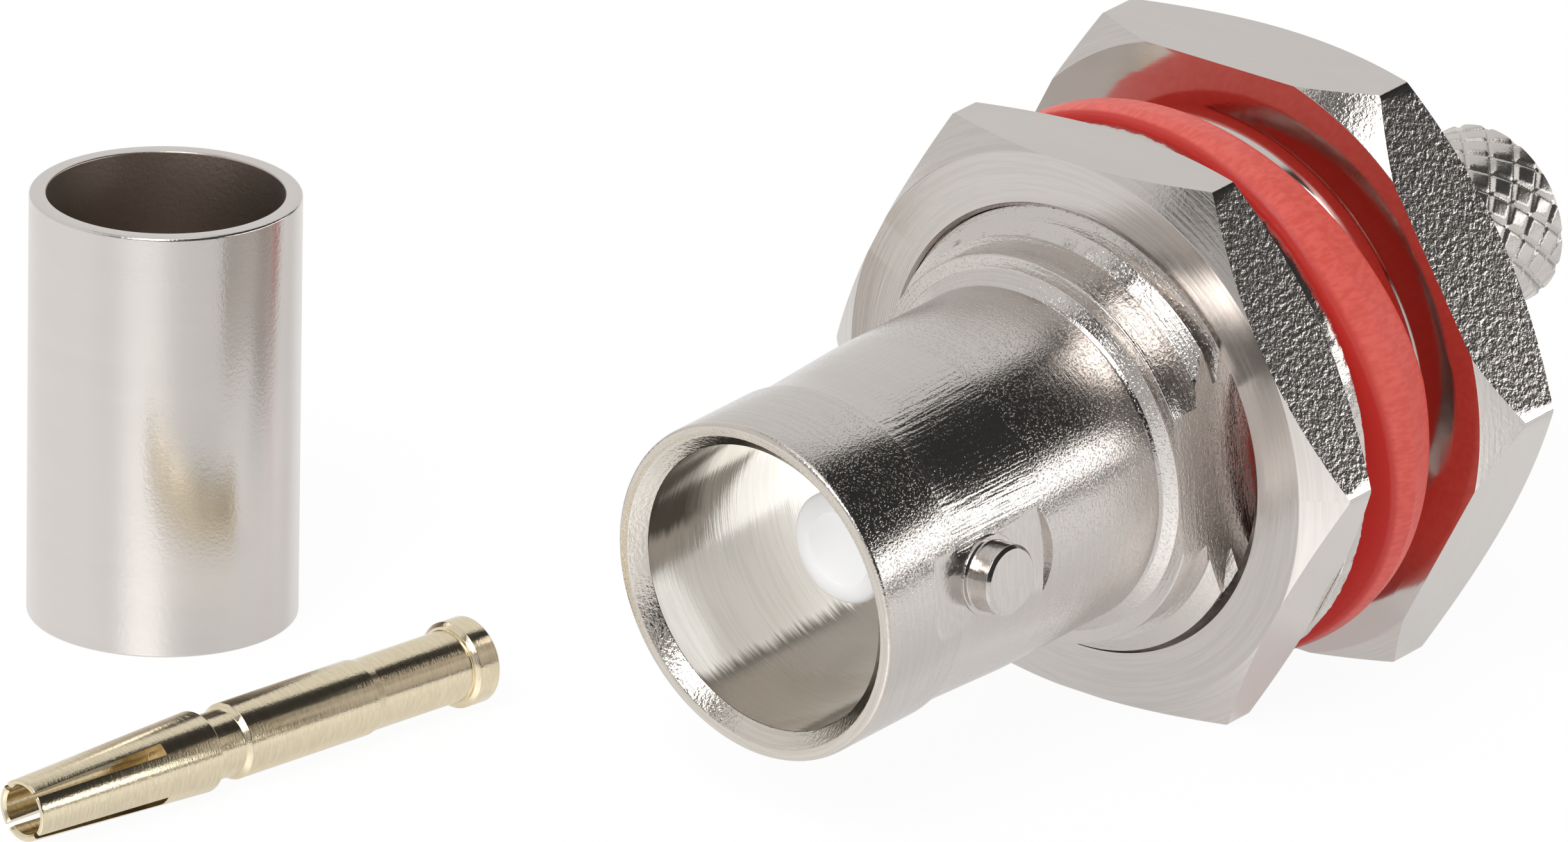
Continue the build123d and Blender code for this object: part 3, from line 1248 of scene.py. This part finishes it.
    def finishes(self) -> dict[Surface, Finish]:
        """The finish of each machined surface."""
        return {
            Surface.TURNED: Plating(
                "turned_nickel", NICKEL, 0.10, line_depth=0.006, grain_depth=0.0065, grain_size=0.07,
                line_tint=0.08, speck_size=0.07, speck_depth=0.0035,
            ),
            Surface.MILLED: Plating(
                "milled_nickel", NICKEL, 0.12, line_depth=0.001, grain_depth=0.008, grain_size=0.08,
                stroke_depth=0.014, line_tint=0.05, speck_size=0.07, speck_depth=0.002,
            ),
            # Painted light: the bore's near-white colour, far brighter than nickel, makes the bore look
            # lit; BorePlating paints shade over part of it.
            Surface.BORED: BorePlating(
                "bored_nickel", (0.98, 0.95, 0.89), 0.10, line_pitch=0.13, line_depth=0.005,
                line_run=1.2, line_tint=0.10,
            ),
            Surface.THREADED: Plating(
                "threaded_nickel", NICKEL, 0.12, line_pitch=0.14, line_depth=0.020, grain_depth=0.008,
                grain_size=0.09, speck_depth=0.003,
            ),
            Surface.FACED: Plating("faced_nickel", NICKEL, 0.07, line_pitch=0.11, line_depth=0.0010),
            Surface.TUMBLED: tumbled("tumbled_nickel"),
            Surface.SPOT_FACED: Plating(
                "spot_faced_nickel", NICKEL, 0.12, line_depth=0.003, grain_depth=0.005, line_tint=0.10
            ),
            Surface.CHAMFERED: Plating(
                "chamfered_nickel", NICKEL, 0.12, line_pitch=0.13, line_depth=0.006,
                grain_depth=0.009, grain_size=0.12, line_tint=0.09,
            ),
            Surface.LIP: Plating(
                "lip_nickel", (0.72, 0.67, 0.61), 0.14, line_pitch=0.10, line_depth=0.002,
                grain_depth=0.016, grain_size=0.10, line_tint=0.12,
            ),
        }

    def build(self, place: Place) -> Solid:
        """Builds, dresses and lays down the shell.

        Args:
            place: Where the jack's axis lies.

        Returns:
            The finished piece.
        """
        body = self.turned_body()
        for side in (-1, 1):
            Bench.cut(body, self.spot_cutter(side), Cut.REMOVE)
            Bench.cut(body, self.lug(side), Cut.ADD)
        Bench.cut(body, self.thread(), Cut.ADD)
        Bench.cut(body, self.flat_cutter(), Cut.REMOVE)
        Bench.turned_by(body, Matrix.Rotation(-self.index_angle, 4, "X"))
        Bench.cut(body, self.flange(), Cut.ADD)
        return complete(body, place, self.finishes(), self.finish_of)


@dataclass
class PanelNut:
    """The hexagon nut with its internal thread."""

    front: float = 12.97
    thickness: float = 2.38
    across: float = 15.875
    chamfer_radius: float = 7.97
    slope: float = 0.63
    countersink_radius: float = 6.52
    countersink_depth: float = 0.62
    overrun: float = 0.4
    thread_overrun: float = 0.6
    thread_gap: float = 0.07
    segments: int = 256

    @property
    def rear(self) -> float:
        """Station of the nut's rear face."""
        return self.front + self.thickness

    def finish_of(self, centre: Vector, normal: Vector) -> Surface:
        """Tells the thread from the hexagon's own surfaces.

        Args:
            centre: The face's centre.
            normal: The way it faces.

        Returns:
            The face's surface.
        """
        surface = hexagon_surface(normal)
        if surface is not Surface.FACED and axis_distance(centre) < self.countersink_radius:
            return Surface.THREADED
        return surface

    def build(self, place: Place) -> Solid:
        """Builds, dresses and lays down the nut.

        Args:
            place: Where the piece's axis lies.

        Returns:
            The finished piece.
        """
        chamfer = Chamfer(self.chamfer_radius, self.slope, 0.05)
        blank = HexagonBlank(self.front, self.thickness, self.across, chamfer, chamfer)
        piece = blank.build("panel_nut_threaded", self.segments)
        tap = PanelThread(segments=self.segments).solid(
            "tap", self.front - self.thread_overrun, self.rear + self.thread_overrun, self.thread_gap
        )
        Bench.cut(piece, tap, Cut.REMOVE)
        for face, way in ((self.front, 1), (self.rear, -1)):
            outside = face - way * self.overrun
            inside = face + way * self.countersink_depth
            sink = [
                (outside, 0.0),
                (outside, self.countersink_radius + self.overrun),
                (inside, self.countersink_radius - self.countersink_depth),
                (inside, 0.0),
            ]
            Bench.cut_turned(piece, sink, self.segments, Cut.REMOVE)
        finishes = {
            Surface.FACED: Plating(
                "nut_faced_nickel", NICKEL, 0.14, line_pitch=0.13, line_depth=0.0055, line_tint=0.09
            ),
            Surface.TUMBLED: tumbled("nut_tumbled_nickel"),
            Surface.THREADED: Plating("nut_threaded_nickel", NICKEL, 0.18, line_depth=0.004),
            Surface.CHAMFERED: Plating(
                "nut_chamfered_nickel", NICKEL, 0.13, line_pitch=0.14, line_depth=0.009,
                grain_depth=0.004, grain_size=0.12, line_tint=0.09,
            ),
        }
        return complete(piece, place, finishes, self.finish_of)


@dataclass
class LockWasher:
    """The thin washer behind the nut, with a rough stamped rim."""

    front: float = 15.38
    thickness: float = 0.46
    outer_radius: float = 7.99
    inner_radius: float = 6.56
    drop: float = 0.10
    edge: float = 0.05
    crown: float = 0.01
    burr: float = 0.035
    burr_reach: float = 0.1
    burr_density: float = 5.0
    segments: int = 360

    def build(self, place: Place) -> Solid:
        """Turns the washer, roughens its rim, dresses it and lays it down.

        Args:
            place: Where the piece's axis lies.

        Returns:
            The finished piece.
        """
        rear = self.front + self.thickness
        corners = [
            Corner(self.front, self.inner_radius),
            Corner(self.front, self.outer_radius, self.edge),
            Corner(self.front + self.thickness / 2, self.outer_radius + self.crown, self.edge),
            Corner(rear, self.outer_radius, self.edge),
            Corner(rear, self.inner_radius),
        ]
        piece = Bench.turn("lock_washer_burred", outline(corners, arc_steps=3), self.segments)
        for vertex in piece.data.vertices:
            if axis_distance(vertex.co) > self.outer_radius - self.burr_reach:
                shift = noise.noise(vertex.co * self.burr_density) * self.burr
                vertex.co.y += shift * vertex.co.y / self.outer_radius
                vertex.co.z += shift * vertex.co.z / self.outer_radius
            vertex.co.z -= self.drop
        steel = Plating(
            "washer_nickel", NICKEL, 0.16, line_depth=0.001, grain_depth=0.012, grain_size=0.12
        )
        return complete(piece, place, {Surface.TURNED: steel})


@dataclass
class SealRing:
    """The silicone gasket, soft and bent: it lies on the washer at the top and hangs back below."""

    front: float = 15.90
    outer_radius: float = 8.12
    inner_radius: float = 6.50
    thin: float = 1.20
    swell: float = 0.95
    swell_angle: float = 160.0
    swell_spread: float = 45.0
    hang: float = 1.3
    hang_start: float = 135.0
    hang_peak: float = 220.0
    rear_limit: float = 18.46
    crown_radius: float = 7.15
    hollow_slope: float = 1.25
    thinnest: float = 0.5
    edge: float = 0.16
    crown: float = 0.04
    crown_round: float = 0.25
    ridge: float = 0.30
    ridge_share: float = 0.4
    ridge_angle: float = 165.0
    ridge_spread: float = 60.0
    sharp_angle: float = math.radians(35)
    segments: int = 288

    def front_at(self, degrees: float) -> float:
        """Station of the ring's front face at an angle about the axis."""
        away = abs(turn_from(self.hang_peak, degrees)) / (self.hang_peak - self.hang_start)
        return self.front + self.hang * math.cos(min(1.0, away) * math.pi / 2) ** 2

    def thickness_at(self, degrees: float) -> float:
        """Thickness of the ring at an angle about the axis.

        Args:
            degrees: The angle.

        Returns:
            The thickness.
        """
        away = turn_from(self.swell_angle, degrees) / self.swell_spread
        thick = self.thin + self.swell * math.exp(-away * away)
        return min(thick, self.rear_limit - self.front_at(degrees))

    def bend(self, vertex: bpy.types.MeshVertex) -> None:
        """Moves one point of the plain ring to its place on the bent ring.

        Args:
            vertex: The point, of which x is its share of the thickness.
        """
        share = vertex.co.x
        radius = axis_distance(vertex.co)
        angle = math.degrees(math.atan2(vertex.co.z, vertex.co.y))
        depth = (self.outer_radius - radius) / (self.outer_radius - self.crown_radius)
        depth = min(1.0, max(0.0, depth))
        front = self.front_at(angle)
        rear = front + self.thickness_at(angle)
        rear += (self.rear_limit - rear) * depth
        rear -= max(0.0, self.crown_radius - radius) * self.hollow_slope
        rear = max(rear, front + self.thinnest)
        vertex.co.x = front + share * (rear - front)
        away = turn_from(self.ridge_angle, angle) / self.ridge_spread
        height = self.ridge * math.exp(-away * away) * (1 - depth)
        across = max(0.0, 1 - abs(share - self.ridge_share) / (1 - self.ridge_share))
        stretch(vertex, 1 + height * across / radius)

    def build(self, place: Place) -> Solid:
        """Turns a plain ring, one millimetre thick, and bends it round.

        Args:
            place: Where the piece's axis lies.

        Returns:
            The finished piece.
        """
        corners = [
            Corner(0.0, self.inner_radius, self.edge),
            Corner(0.0, self.outer_radius, self.edge),
            Corner(self.ridge_share, self.outer_radius + self.crown, self.crown_round),
            Corner(1.0, self.outer_radius, self.edge),
            Corner(1.0, self.crown_radius),
            Corner(1.0, self.inner_radius, self.edge),
        ]
        piece = Bench.turn("gasket_ring", outline(corners), self.segments)
        for vertex in piece.data.vertices:
            self.bend(vertex)
        return complete(piece, place, {Surface.TURNED: Silicone()}, sharp_angle=self.sharp_angle)


@dataclass
class Insulator:
    """The front insulator, of which the nose shows in the barrel."""

    nose_radius: float = 1.6
    nose_front: float = 3.2
    skirt_front: float = 8.25
    skirt_radius: float = 4.0
    mouth_radius: float = 1.0
    bore_end_radius: float = 1.175
    pilot_front: float = 8.4
    pilot_radius: float = 2.38
    flange_front: float = 9.02
    flange_radius: float = 3.28
    rear: float = 9.95
    segments: int = 160

    def finish_of(self, centre: Vector, normal: Vector) -> Surface:
        """The skirt on the bore's bottom has a strong painted glow that lights the bore, and the nose a
        faint one.
        """
        return Surface.FACED if centre.x > self.skirt_front - 0.05 else Surface.TURNED

    def build(self, place: Place) -> Solid:
        """Builds, dresses and lays down the insulator.

        Args:
            place: Where the piece's axis lies.

        Returns:
            The finished piece.
        """
        corners = [
            Corner(self.nose_front, self.mouth_radius + 0.04, 0.05),
            Corner(self.nose_front, self.nose_radius, 0.14),
            Corner(self.skirt_front, self.nose_radius, 0.1),
            Corner(self.skirt_front, self.skirt_radius),
            Corner(self.pilot_front, self.skirt_radius),
            Corner(self.pilot_front, self.pilot_radius),
            Corner(self.flange_front, self.pilot_radius),
            Corner(self.flange_front, self.flange_radius),
            Corner(self.rear, self.flange_radius),
            Corner(self.rear, self.bore_end_radius),
        ]
        piece = Bench.turn("front_insulator_turned", outline(corners), self.segments)
        finishes = {
            Surface.TURNED: Fluoroplastic(),
            # Painted light: the skirt's strong glow, which lights the bore around it.
            Surface.FACED: Fluoroplastic("white_ptfe_skirt", glow=0.85),
        }
        return complete(piece, place, finishes, self.finish_of)


@dataclass
class CrimpStem:
    """The knurled tube behind the flange."""

    radius: float = 2.62
    bore: float = 1.95
    front: float = 19.15
    flange_rear: float = 22.55
    length: float = 8.65
    head_radius: float = 3.29
    end_chamfer: float = 0.25
    knurls: int = 16
    knurl_length: float = 1.03
    groove_share: float = 0.30
    groove_depth: float = 0.08
    cells: int = 16
    sharp_angle: float = math.radians(28)

    @property
    def rear(self) -> float:
        """Station of the stem's end."""
        return self.flange_rear + self.length

    def groove(self, station: float, angle: float) -> float:
        """Depth of the crossed knurling grooves at a point of the surface.

        Args:
            station: Its place along the axis.
            angle: Its angle about it.

        Returns:
            The depth.
        """
        along = station / self.knurl_length
        around = angle / FULL_TURN * self.knurls
        deepest = 0.0
        for phase in (along + around, along - around):
            away = abs((phase % 1.0) - 0.5) * 2
            share = max(0.0, (away - 1 + self.groove_share) / self.groove_share)
            deepest = max(deepest, share * share * (3 - 2 * share))
        return self.groove_depth * deepest

    def build(self, place: Place) -> Solid:
        """Turns the tube with close rings, presses the knurl in and lays the stem down.

        Args:
            place: Where the piece's axis lies.

        Returns:
            The finished piece.
        """
        step = self.knurl_length / self.cells
        knurl_rear = self.rear - self.end_chamfer
        rings = int((knurl_rear - self.flange_rear) / step)
        points = outline(
            [
                Corner(self.rear, self.radius - self.end_chamfer, 0.08),
                Corner(self.rear, self.bore, 0.05),
                Corner(self.front, self.bore),
                Corner(self.front, self.head_radius),
                Corner(self.flange_rear, self.head_radius),
                Corner(self.flange_rear, self.radius),
            ],
            closed=False,
        )
        points += [(self.flange_rear + step * (ring + 1), self.radius) for ring in range(rings)]
        points.append((knurl_rear, self.radius))
        piece = Bench.turn("crimp_stem_knurled", points, self.knurls * self.cells)
        for vertex in piece.data.vertices:
            radius = axis_distance(vertex.co)
            if vertex.co.x > self.flange_rear + 0.02 and radius > self.radius - 0.01:
                angle = math.atan2(vertex.co.z, vertex.co.y)
                stretch(vertex, 1 - self.groove(vertex.co.x, angle) / radius)
        knurl = Plating("knurled_nickel", NICKEL, 0.24, line_depth=0.003, grain_depth=0.009)
        return complete(piece, place, {Surface.TURNED: knurl}, sharp_angle=self.sharp_angle)


@dataclass
class CentreContact:
    """The loose gold contact, with a slotted socket, a neck, a body and a collar."""

    length: float = 16.5
    tip_radius: float = 0.86
    shoulder_station: float = 6.3
    shoulder_radius: float = 1.14
    neck_radius: float = 0.925
    neck_end: float = 7.3
    body_radius: float = 1.067
    step_station: float = 12.1
    step_length: float = 0.3
    rear_radius: float = 1.01
    collar_station: float = 15.6
    collar_radius: float = 1.22
    collar_chamfer: float = 0.12
    socket_radius: float = 0.675
    socket_depth: float = 5.2
    pot_radius: float = 0.6
    pot_depth: float = 5.0
    slot_length: float = 4.5
    slot_width: float = 0.37
    slot_mouth: float = 0.12
    slot_turn: float = math.radians(42)
    saw_overrun: float = 1.0
    saw_width: float = 4.0
    mouth_chamfer: float = 0.08
    neck_slope: float = 0.14
    segments: int = 160

    def build(self, place: Place) -> Solid:
        """Turns the contact, saws its slots, dresses it and lays it down.

        Args:
            place: Where the piece's axis lies.

        Returns:
            The finished piece.
        """
        corners = [
            Corner(self.socket_depth, 0.0),
            Corner(self.socket_depth, self.socket_radius, 0.05),
            Corner(self.mouth_chamfer, self.socket_radius, 0.03),
            Corner(0.0, self.socket_radius + self.mouth_chamfer, 0.02),
            Corner(0.0, self.tip_radius, 0.12),
            Corner(self.shoulder_station, self.shoulder_radius, 0.06),
            Corner(self.shoulder_station + self.neck_slope, self.neck_radius, 0.04),
            Corner(self.neck_end, self.neck_radius, 0.04),
            Corner(self.neck_end + self.neck_slope, self.body_radius, 0.04),
            Corner(self.step_station, self.body_radius, 0.02),
            Corner(self.step_station + self.step_length, self.rear_radius, 0.04),
            Corner(self.collar_station, self.rear_radius, 0.03),
            Corner(self.collar_station, self.collar_radius - self.collar_chamfer, 0.02),
            Corner(self.collar_station + self.collar_chamfer, self.collar_radius, 0.03),
            Corner(self.length - self.collar_chamfer, self.collar_radius, 0.03),
            Corner(self.length, self.collar_radius - self.collar_chamfer, 0.03),
            Corner(self.length, self.pot_radius, 0.05),
            Corner(self.length - self.pot_depth, self.pot_radius, 0.05),
            Corner(self.length - self.pot_depth, 0.0),
        ]
        points = outline(corners, closed=False)
        piece = Bench.turn("centre_contact_slotted", points, self.segments, closed=False)
        for turn in (self.slot_turn, self.slot_turn + RIGHT_ANGLE):
            middle = ((self.slot_length - self.saw_overrun) / 2, 0, 0)
            size = (self.slot_length + self.saw_overrun, self.saw_width, self.slot_width)
            saw = Bench.block(middle, size)
            for vertex in saw.data.vertices:
                if vertex.co.x < 0:
                    vertex.co.z *= self.slot_mouth / self.slot_width
            Bench.turned_by(saw, Matrix.Rotation(turn, 4, "X"))
            Bench.cut(piece, saw, Cut.REMOVE)
        gold = Plating(
            "gold_plate", GOLD, 0.13, line_pitch=0.07, line_depth=0.006, grain_depth=0.0035,
            grain_size=0.06, tint_spread=0.08, line_tint=0.12,
        )
        return complete(piece, place, {Surface.TURNED: gold})


@dataclass
class CrimpFerrule:
    """The loose ferrule, standing on its end."""

    radius: float = 3.76
    bore: float = 3.285
    length: float = 12.26
    edge: float = 0.09
    bore_edge: float = 0.06
    segments: int = 224

    def finish_of(self, centre: Vector, normal: Vector) -> Surface:
        """The inside is duller than the outside."""
        return Surface.BORED if axis_distance(centre) < self.bore + 0.02 else Surface.TURNED

    def build(self, place: Place) -> Solid:
        """Turns, dresses and stands up the ferrule.

        Args:
            place: Where the piece's axis lies.

        Returns:
            The finished piece.
        """
        corners = [
            Corner(0.0, self.bore, self.bore_edge),
            Corner(0.0, self.radius, self.edge),
            Corner(self.length, self.radius, self.edge),
            Corner(self.length, self.bore, self.bore_edge),
        ]
        piece = Bench.turn("crimp_ferrule_plain", outline(corners), self.segments)
        finishes = {
            Surface.TURNED: Plating(
                "satin_nickel", (0.72, 0.68, 0.65), 0.18, line_depth=0.0, grain_depth=0.006,
                grain_size=0.11,
            ),
            Surface.BORED: Plating(
                "satin_nickel_inside", (0.56, 0.49, 0.44), 0.30, line_depth=0.0, grain_depth=0.006,
                grain_size=0.12,
            ),
        }
        return complete(piece, place, finishes, self.finish_of)


@dataclass(frozen=True)
class Glow:
    """A patch of the studio, by direction: azimuths from +Y towards +X and elevations, in degrees."""

    azimuth: float
    half_width: float
    low: float
    high: float
    strength: float
    softness: float


WHITE = (1.0, 1.0, 1.0, 1.0)


@dataclass
class Studio:
    """The white table, the studio around it and its lamp. Sizes are in metres."""

    base_strength: float = 0.035
    glow_colour: Colour = (1.0, 0.995, 0.985)
    table_half: float = 1.5
    paper: Colour = (0.93, 0.93, 0.93)
    seen_share: float = 0.95
    mirrored_share: float = 0.6
    sheen_share: float = 0.7
    sheen_roughness: float = 0.4
    lamp_size: Point = (0.5, 0.4)
    lamp_power: float = 3.0
    lamp_way: Triple = (-0.62, -0.25, 0.74)
    lamp_distance: float = 0.8
    patches: tuple[Glow, ...] = (
        Glow(azimuth=5, half_width=84, low=-8, high=62, strength=0.80, softness=6),
        Glow(azimuth=141, half_width=34, low=6, high=19.4, strength=2.3, softness=2),
        Glow(azimuth=-116, half_width=18, low=30, high=66, strength=5.0, softness=5),
        Glow(azimuth=-100, half_width=30, low=-5, high=22, strength=0.55, softness=6),
        Glow(azimuth=0, half_width=181, low=68, high=95, strength=1.1, softness=6),
    )

    def world(self) -> None:
        """Makes the surroundings: plain white to the camera, soft boxes to the object."""
        world = bpy.data.worlds.new("studio")
        bpy.context.scene.world = world
        world.use_nodes = True
        graph = Graph(world.node_tree)
        x, y, z = graph.parts(graph.node("ShaderNodeTexCoord").outputs["Generated"])
        rise = graph.math("ARCSINE", z) * math.degrees(1)
        strength: Signal | float = self.base_strength
        for patch in self.patches:
            turn = math.radians(patch.azimuth)
            side = x * math.cos(turn) - y * math.sin(turn)
            ahead = x * math.sin(turn) + y * math.cos(turn)
            swing = graph.math("ABSOLUTE", graph.math("ARCTAN2", side, ahead) * math.degrees(1))
            soft = patch.softness / 2
            mask = graph.ramp(swing, patch.half_width + soft, patch.half_width - soft)
            mask = mask * graph.ramp(rise, patch.low - soft, patch.low + soft)
            mask = mask * graph.ramp(rise, patch.high + soft, patch.high - soft)
            strength = mask * patch.strength + (1 - mask) * strength
        glow_inputs = {"Color": (*self.glow_colour, 1.0), "Strength": strength}
        glow = graph.node("ShaderNodeBackground", inputs=glow_inputs)
        plain = graph.node("ShaderNodeBackground", inputs={"Color": WHITE, "Strength": 1.0})
        seen = graph.node("ShaderNodeLightPath").outputs["Is Camera Ray"]
        graph.finish(graph.layered(seen, glow, plain), "World")

    def table(self) -> None:
        """Makes the white table top: paper under a dull sheen, lit up to white where it is seen."""
        bpy.ops.object.select_all(action="DESELECT")
        bpy.ops.mesh.primitive_plane_add(size=2 * self.table_half)
        top = bpy.context.object
        top.name = "table_top"
        material, graph = empty_material("white_table")
        paper = graph.node("ShaderNodeBsdfDiffuse", inputs={"Color": (*self.paper, 1.0)})
        light = graph.node("ShaderNodeEmission", inputs={"Color": WHITE, "Strength": 1.0})
        path = graph.node("ShaderNodeLightPath")
        kinds = ("Camera", "Glossy", "Transmission")
        camera, glossy, clear = (Signal(graph, path.outputs[f"Is {kind} Ray"]) for kind in kinds)
        mirrored = graph.math("MAXIMUM", glossy, clear) * self.mirrored_share
        share = graph.math("MAXIMUM", camera * self.seen_share, mirrored)
        sheen_inputs = {"Color": WHITE, "Roughness": self.sheen_roughness}
        sheen = graph.node("ShaderNodeBsdfGlossy", inputs=sheen_inputs)
        coated = graph.layered(self.sheen_share - camera * self.sheen_share, paper, sheen)
        graph.finish(graph.layered(share, coated, light))
        top.data.materials.append(material)

    def lamp(self) -> None:
        """Hangs one large soft lamp above and to the left."""
        data = bpy.data.lights.new("soft_key", "AREA")
        data.shape = "RECTANGLE"
        data.size, data.size_y = self.lamp_size
        data.energy = self.lamp_power
        lamp = bpy.data.objects.new("soft_key", data)
        bpy.context.scene.collection.objects.link(lamp)
        way = Vector(self.lamp_way).normalized()
        lamp.location = way * self.lamp_distance
        lamp.rotation_mode = "QUATERNION"
        lamp.rotation_quaternion = way.to_track_quat("Z", "Y")
        lamp.visible_camera = False
        lamp.visible_glossy = False

    def build(self) -> None:
        """Builds the whole studio."""
        self.world()
        self.table()
        self.lamp()


@dataclass
class PhotoCamera:
    """The photograph's camera, placed from the jack's own axis, in millimetres."""

    location: Triple = (-338.528, -304.883, 210.943)
    look: Triple = (0.67814, 0.60856, -0.41205)
    up: Triple = (0.33279, 0.24562, 0.91045)
    focal_pixels: float = 29277.0
    image_width: float = 2446.0
    sensor_width: float = 36.0
    clip_range: Point = (0.01, 20.0)

    def build(self, place: Place) -> None:
        """Makes the camera and hands it to the scene.

        Args:
            place: Where the jack's axis lies.
        """
        data = bpy.data.cameras.new("photo_camera")
        data.sensor_width = self.sensor_width
        data.lens = self.focal_pixels / self.image_width * self.sensor_width
        data.clip_start, data.clip_end = self.clip_range
        camera = bpy.data.objects.new("photo_camera", data)
        bpy.context.scene.collection.objects.link(camera)
        turn = place.matrix.to_quaternion().to_matrix()
        back = -(turn @ Vector(self.look)).normalized()
        up = (turn @ Vector(self.up)).normalized()
        right = up.cross(back).normalized()
        up = back.cross(right)
        axes = Matrix((right, up, back)).transposed().to_4x4()
        camera.matrix_world = Matrix.Translation(place.matrix @ Vector(self.location)) @ axes
        bpy.context.scene.camera = camera


@dataclass
class Layout:
    """Where the axes lie, in millimetres from the table's point below the barrel's front."""

    shell: Shell
    nut: PanelNut
    ferrule_place: Point = (0.75, 22.4)
    contact_tip_place: Point = (-14.87, 13.09)
    contact_heading: float = math.radians(-5)

    def below_lip(self) -> Vector:
        """The point below the lip's centre, in metres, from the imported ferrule's place.

        Returns:
            The point.
        """
        low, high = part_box("crimp_ferrule")
        middle = (low + high) / 2
        return Vector((middle.x, middle.y, 0)) - Vector((*self.ferrule_place, 0)) * MM

    @property
    def rest_tilt(self) -> float:
        """Pitch of the jack, which lies on a flat of its nut and one of its flange."""
        rise = (self.shell.flange_across - self.nut.across) / 2
        return math.atan2(rise, self.shell.flange_front - self.nut.front)

    def jack(self) -> Place:
        """The jack's axis, from the lip's centre back.

        Returns:
            The place.
        """
        tilt = self.rest_tilt
        height = self.nut.across / 2 * math.cos(tilt) - self.nut.front * math.sin(tilt)
        origin = self.below_lip() + Vector((0, 0, height * MM))
        return Place(tuple(origin), 0.0, tilt)

    def contact(self, contact: CentreContact) -> Place:
        """The contact's axis, from its tip back, lying on its shoulder and its collar.

        Args:
            contact: The contact, of which the sizes count.

        Returns:
            The place.
        """
        rise = contact.collar_radius - contact.shoulder_radius
        run = contact.collar_station + contact.collar_chamfer - contact.shoulder_station
        pitch = math.atan2(rise, run)
        height = contact.shoulder_radius * math.cos(pitch) - contact.shoulder_station * math.sin(pitch)
        origin = self.below_lip() + Vector((*self.contact_tip_place, height)) * MM
        return Place(tuple(origin), self.contact_heading, pitch)

    def ferrule(self) -> Place:
        """The ferrule's axis, from its foot up."""
        origin = self.below_lip() + Vector((*self.ferrule_place, 0)) * MM
        return Place(tuple(origin), 0.0, RIGHT_ANGLE)


def seat(piece: Solid, node: str, body: str) -> None:
    """Lets a finished piece stand for a node of the frame and ride on its body.

    Args:
        piece: The finished piece.
        node: The node that it stands for.
        body: The body that it rides on.
    """
    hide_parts(node)
    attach(piece, body)
    LOG.info("%s stands for %s on %s", piece.name, node, body)


def dress_node(node: str, material: bpy.types.Material) -> None:
    """Gives a node that stays in view its finish.

    Args:
        node: The node.
        material: Its finish.
    """
    piece = bpy.data.objects[node]
    piece.data.materials.clear()
    piece.data.materials.append(material)
    LOG.info("%s keeps its own solid", node)


def main() -> None:
    """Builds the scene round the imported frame."""
    logging.basicConfig(level=logging.INFO, format="%(name)s: %(message)s")
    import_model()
    bpy.context.scene.view_settings.view_transform = "Standard"
    shell, nut, contact = Shell(), PanelNut(), CentreContact()
    layout = Layout(shell, nut)
    jack = layout.jack()
    PhotoCamera().build(jack)
    Studio().build()
    seat(shell.build(jack), "shell", "jack")
    seat(Insulator().build(jack), "front_insulator", "jack")
    seat(CrimpStem().build(jack), "crimp_stem", "jack")
    seat(nut.build(jack), "panel_nut", "nut")
    seat(LockWasher().build(jack), "lock_washer", "seal")
    seat(SealRing().build(jack), "gasket", "seal")
    seat(contact.build(layout.contact(contact)), "centre_contact", "jack")
    seat(CrimpFerrule().build(layout.ferrule()), "crimp_ferrule", "jack")
    dress_node("rear_insulator", Fluoroplastic("white_ptfe_rear", glow=0.0).build(jack))


if __name__ == "__main__":
    main()
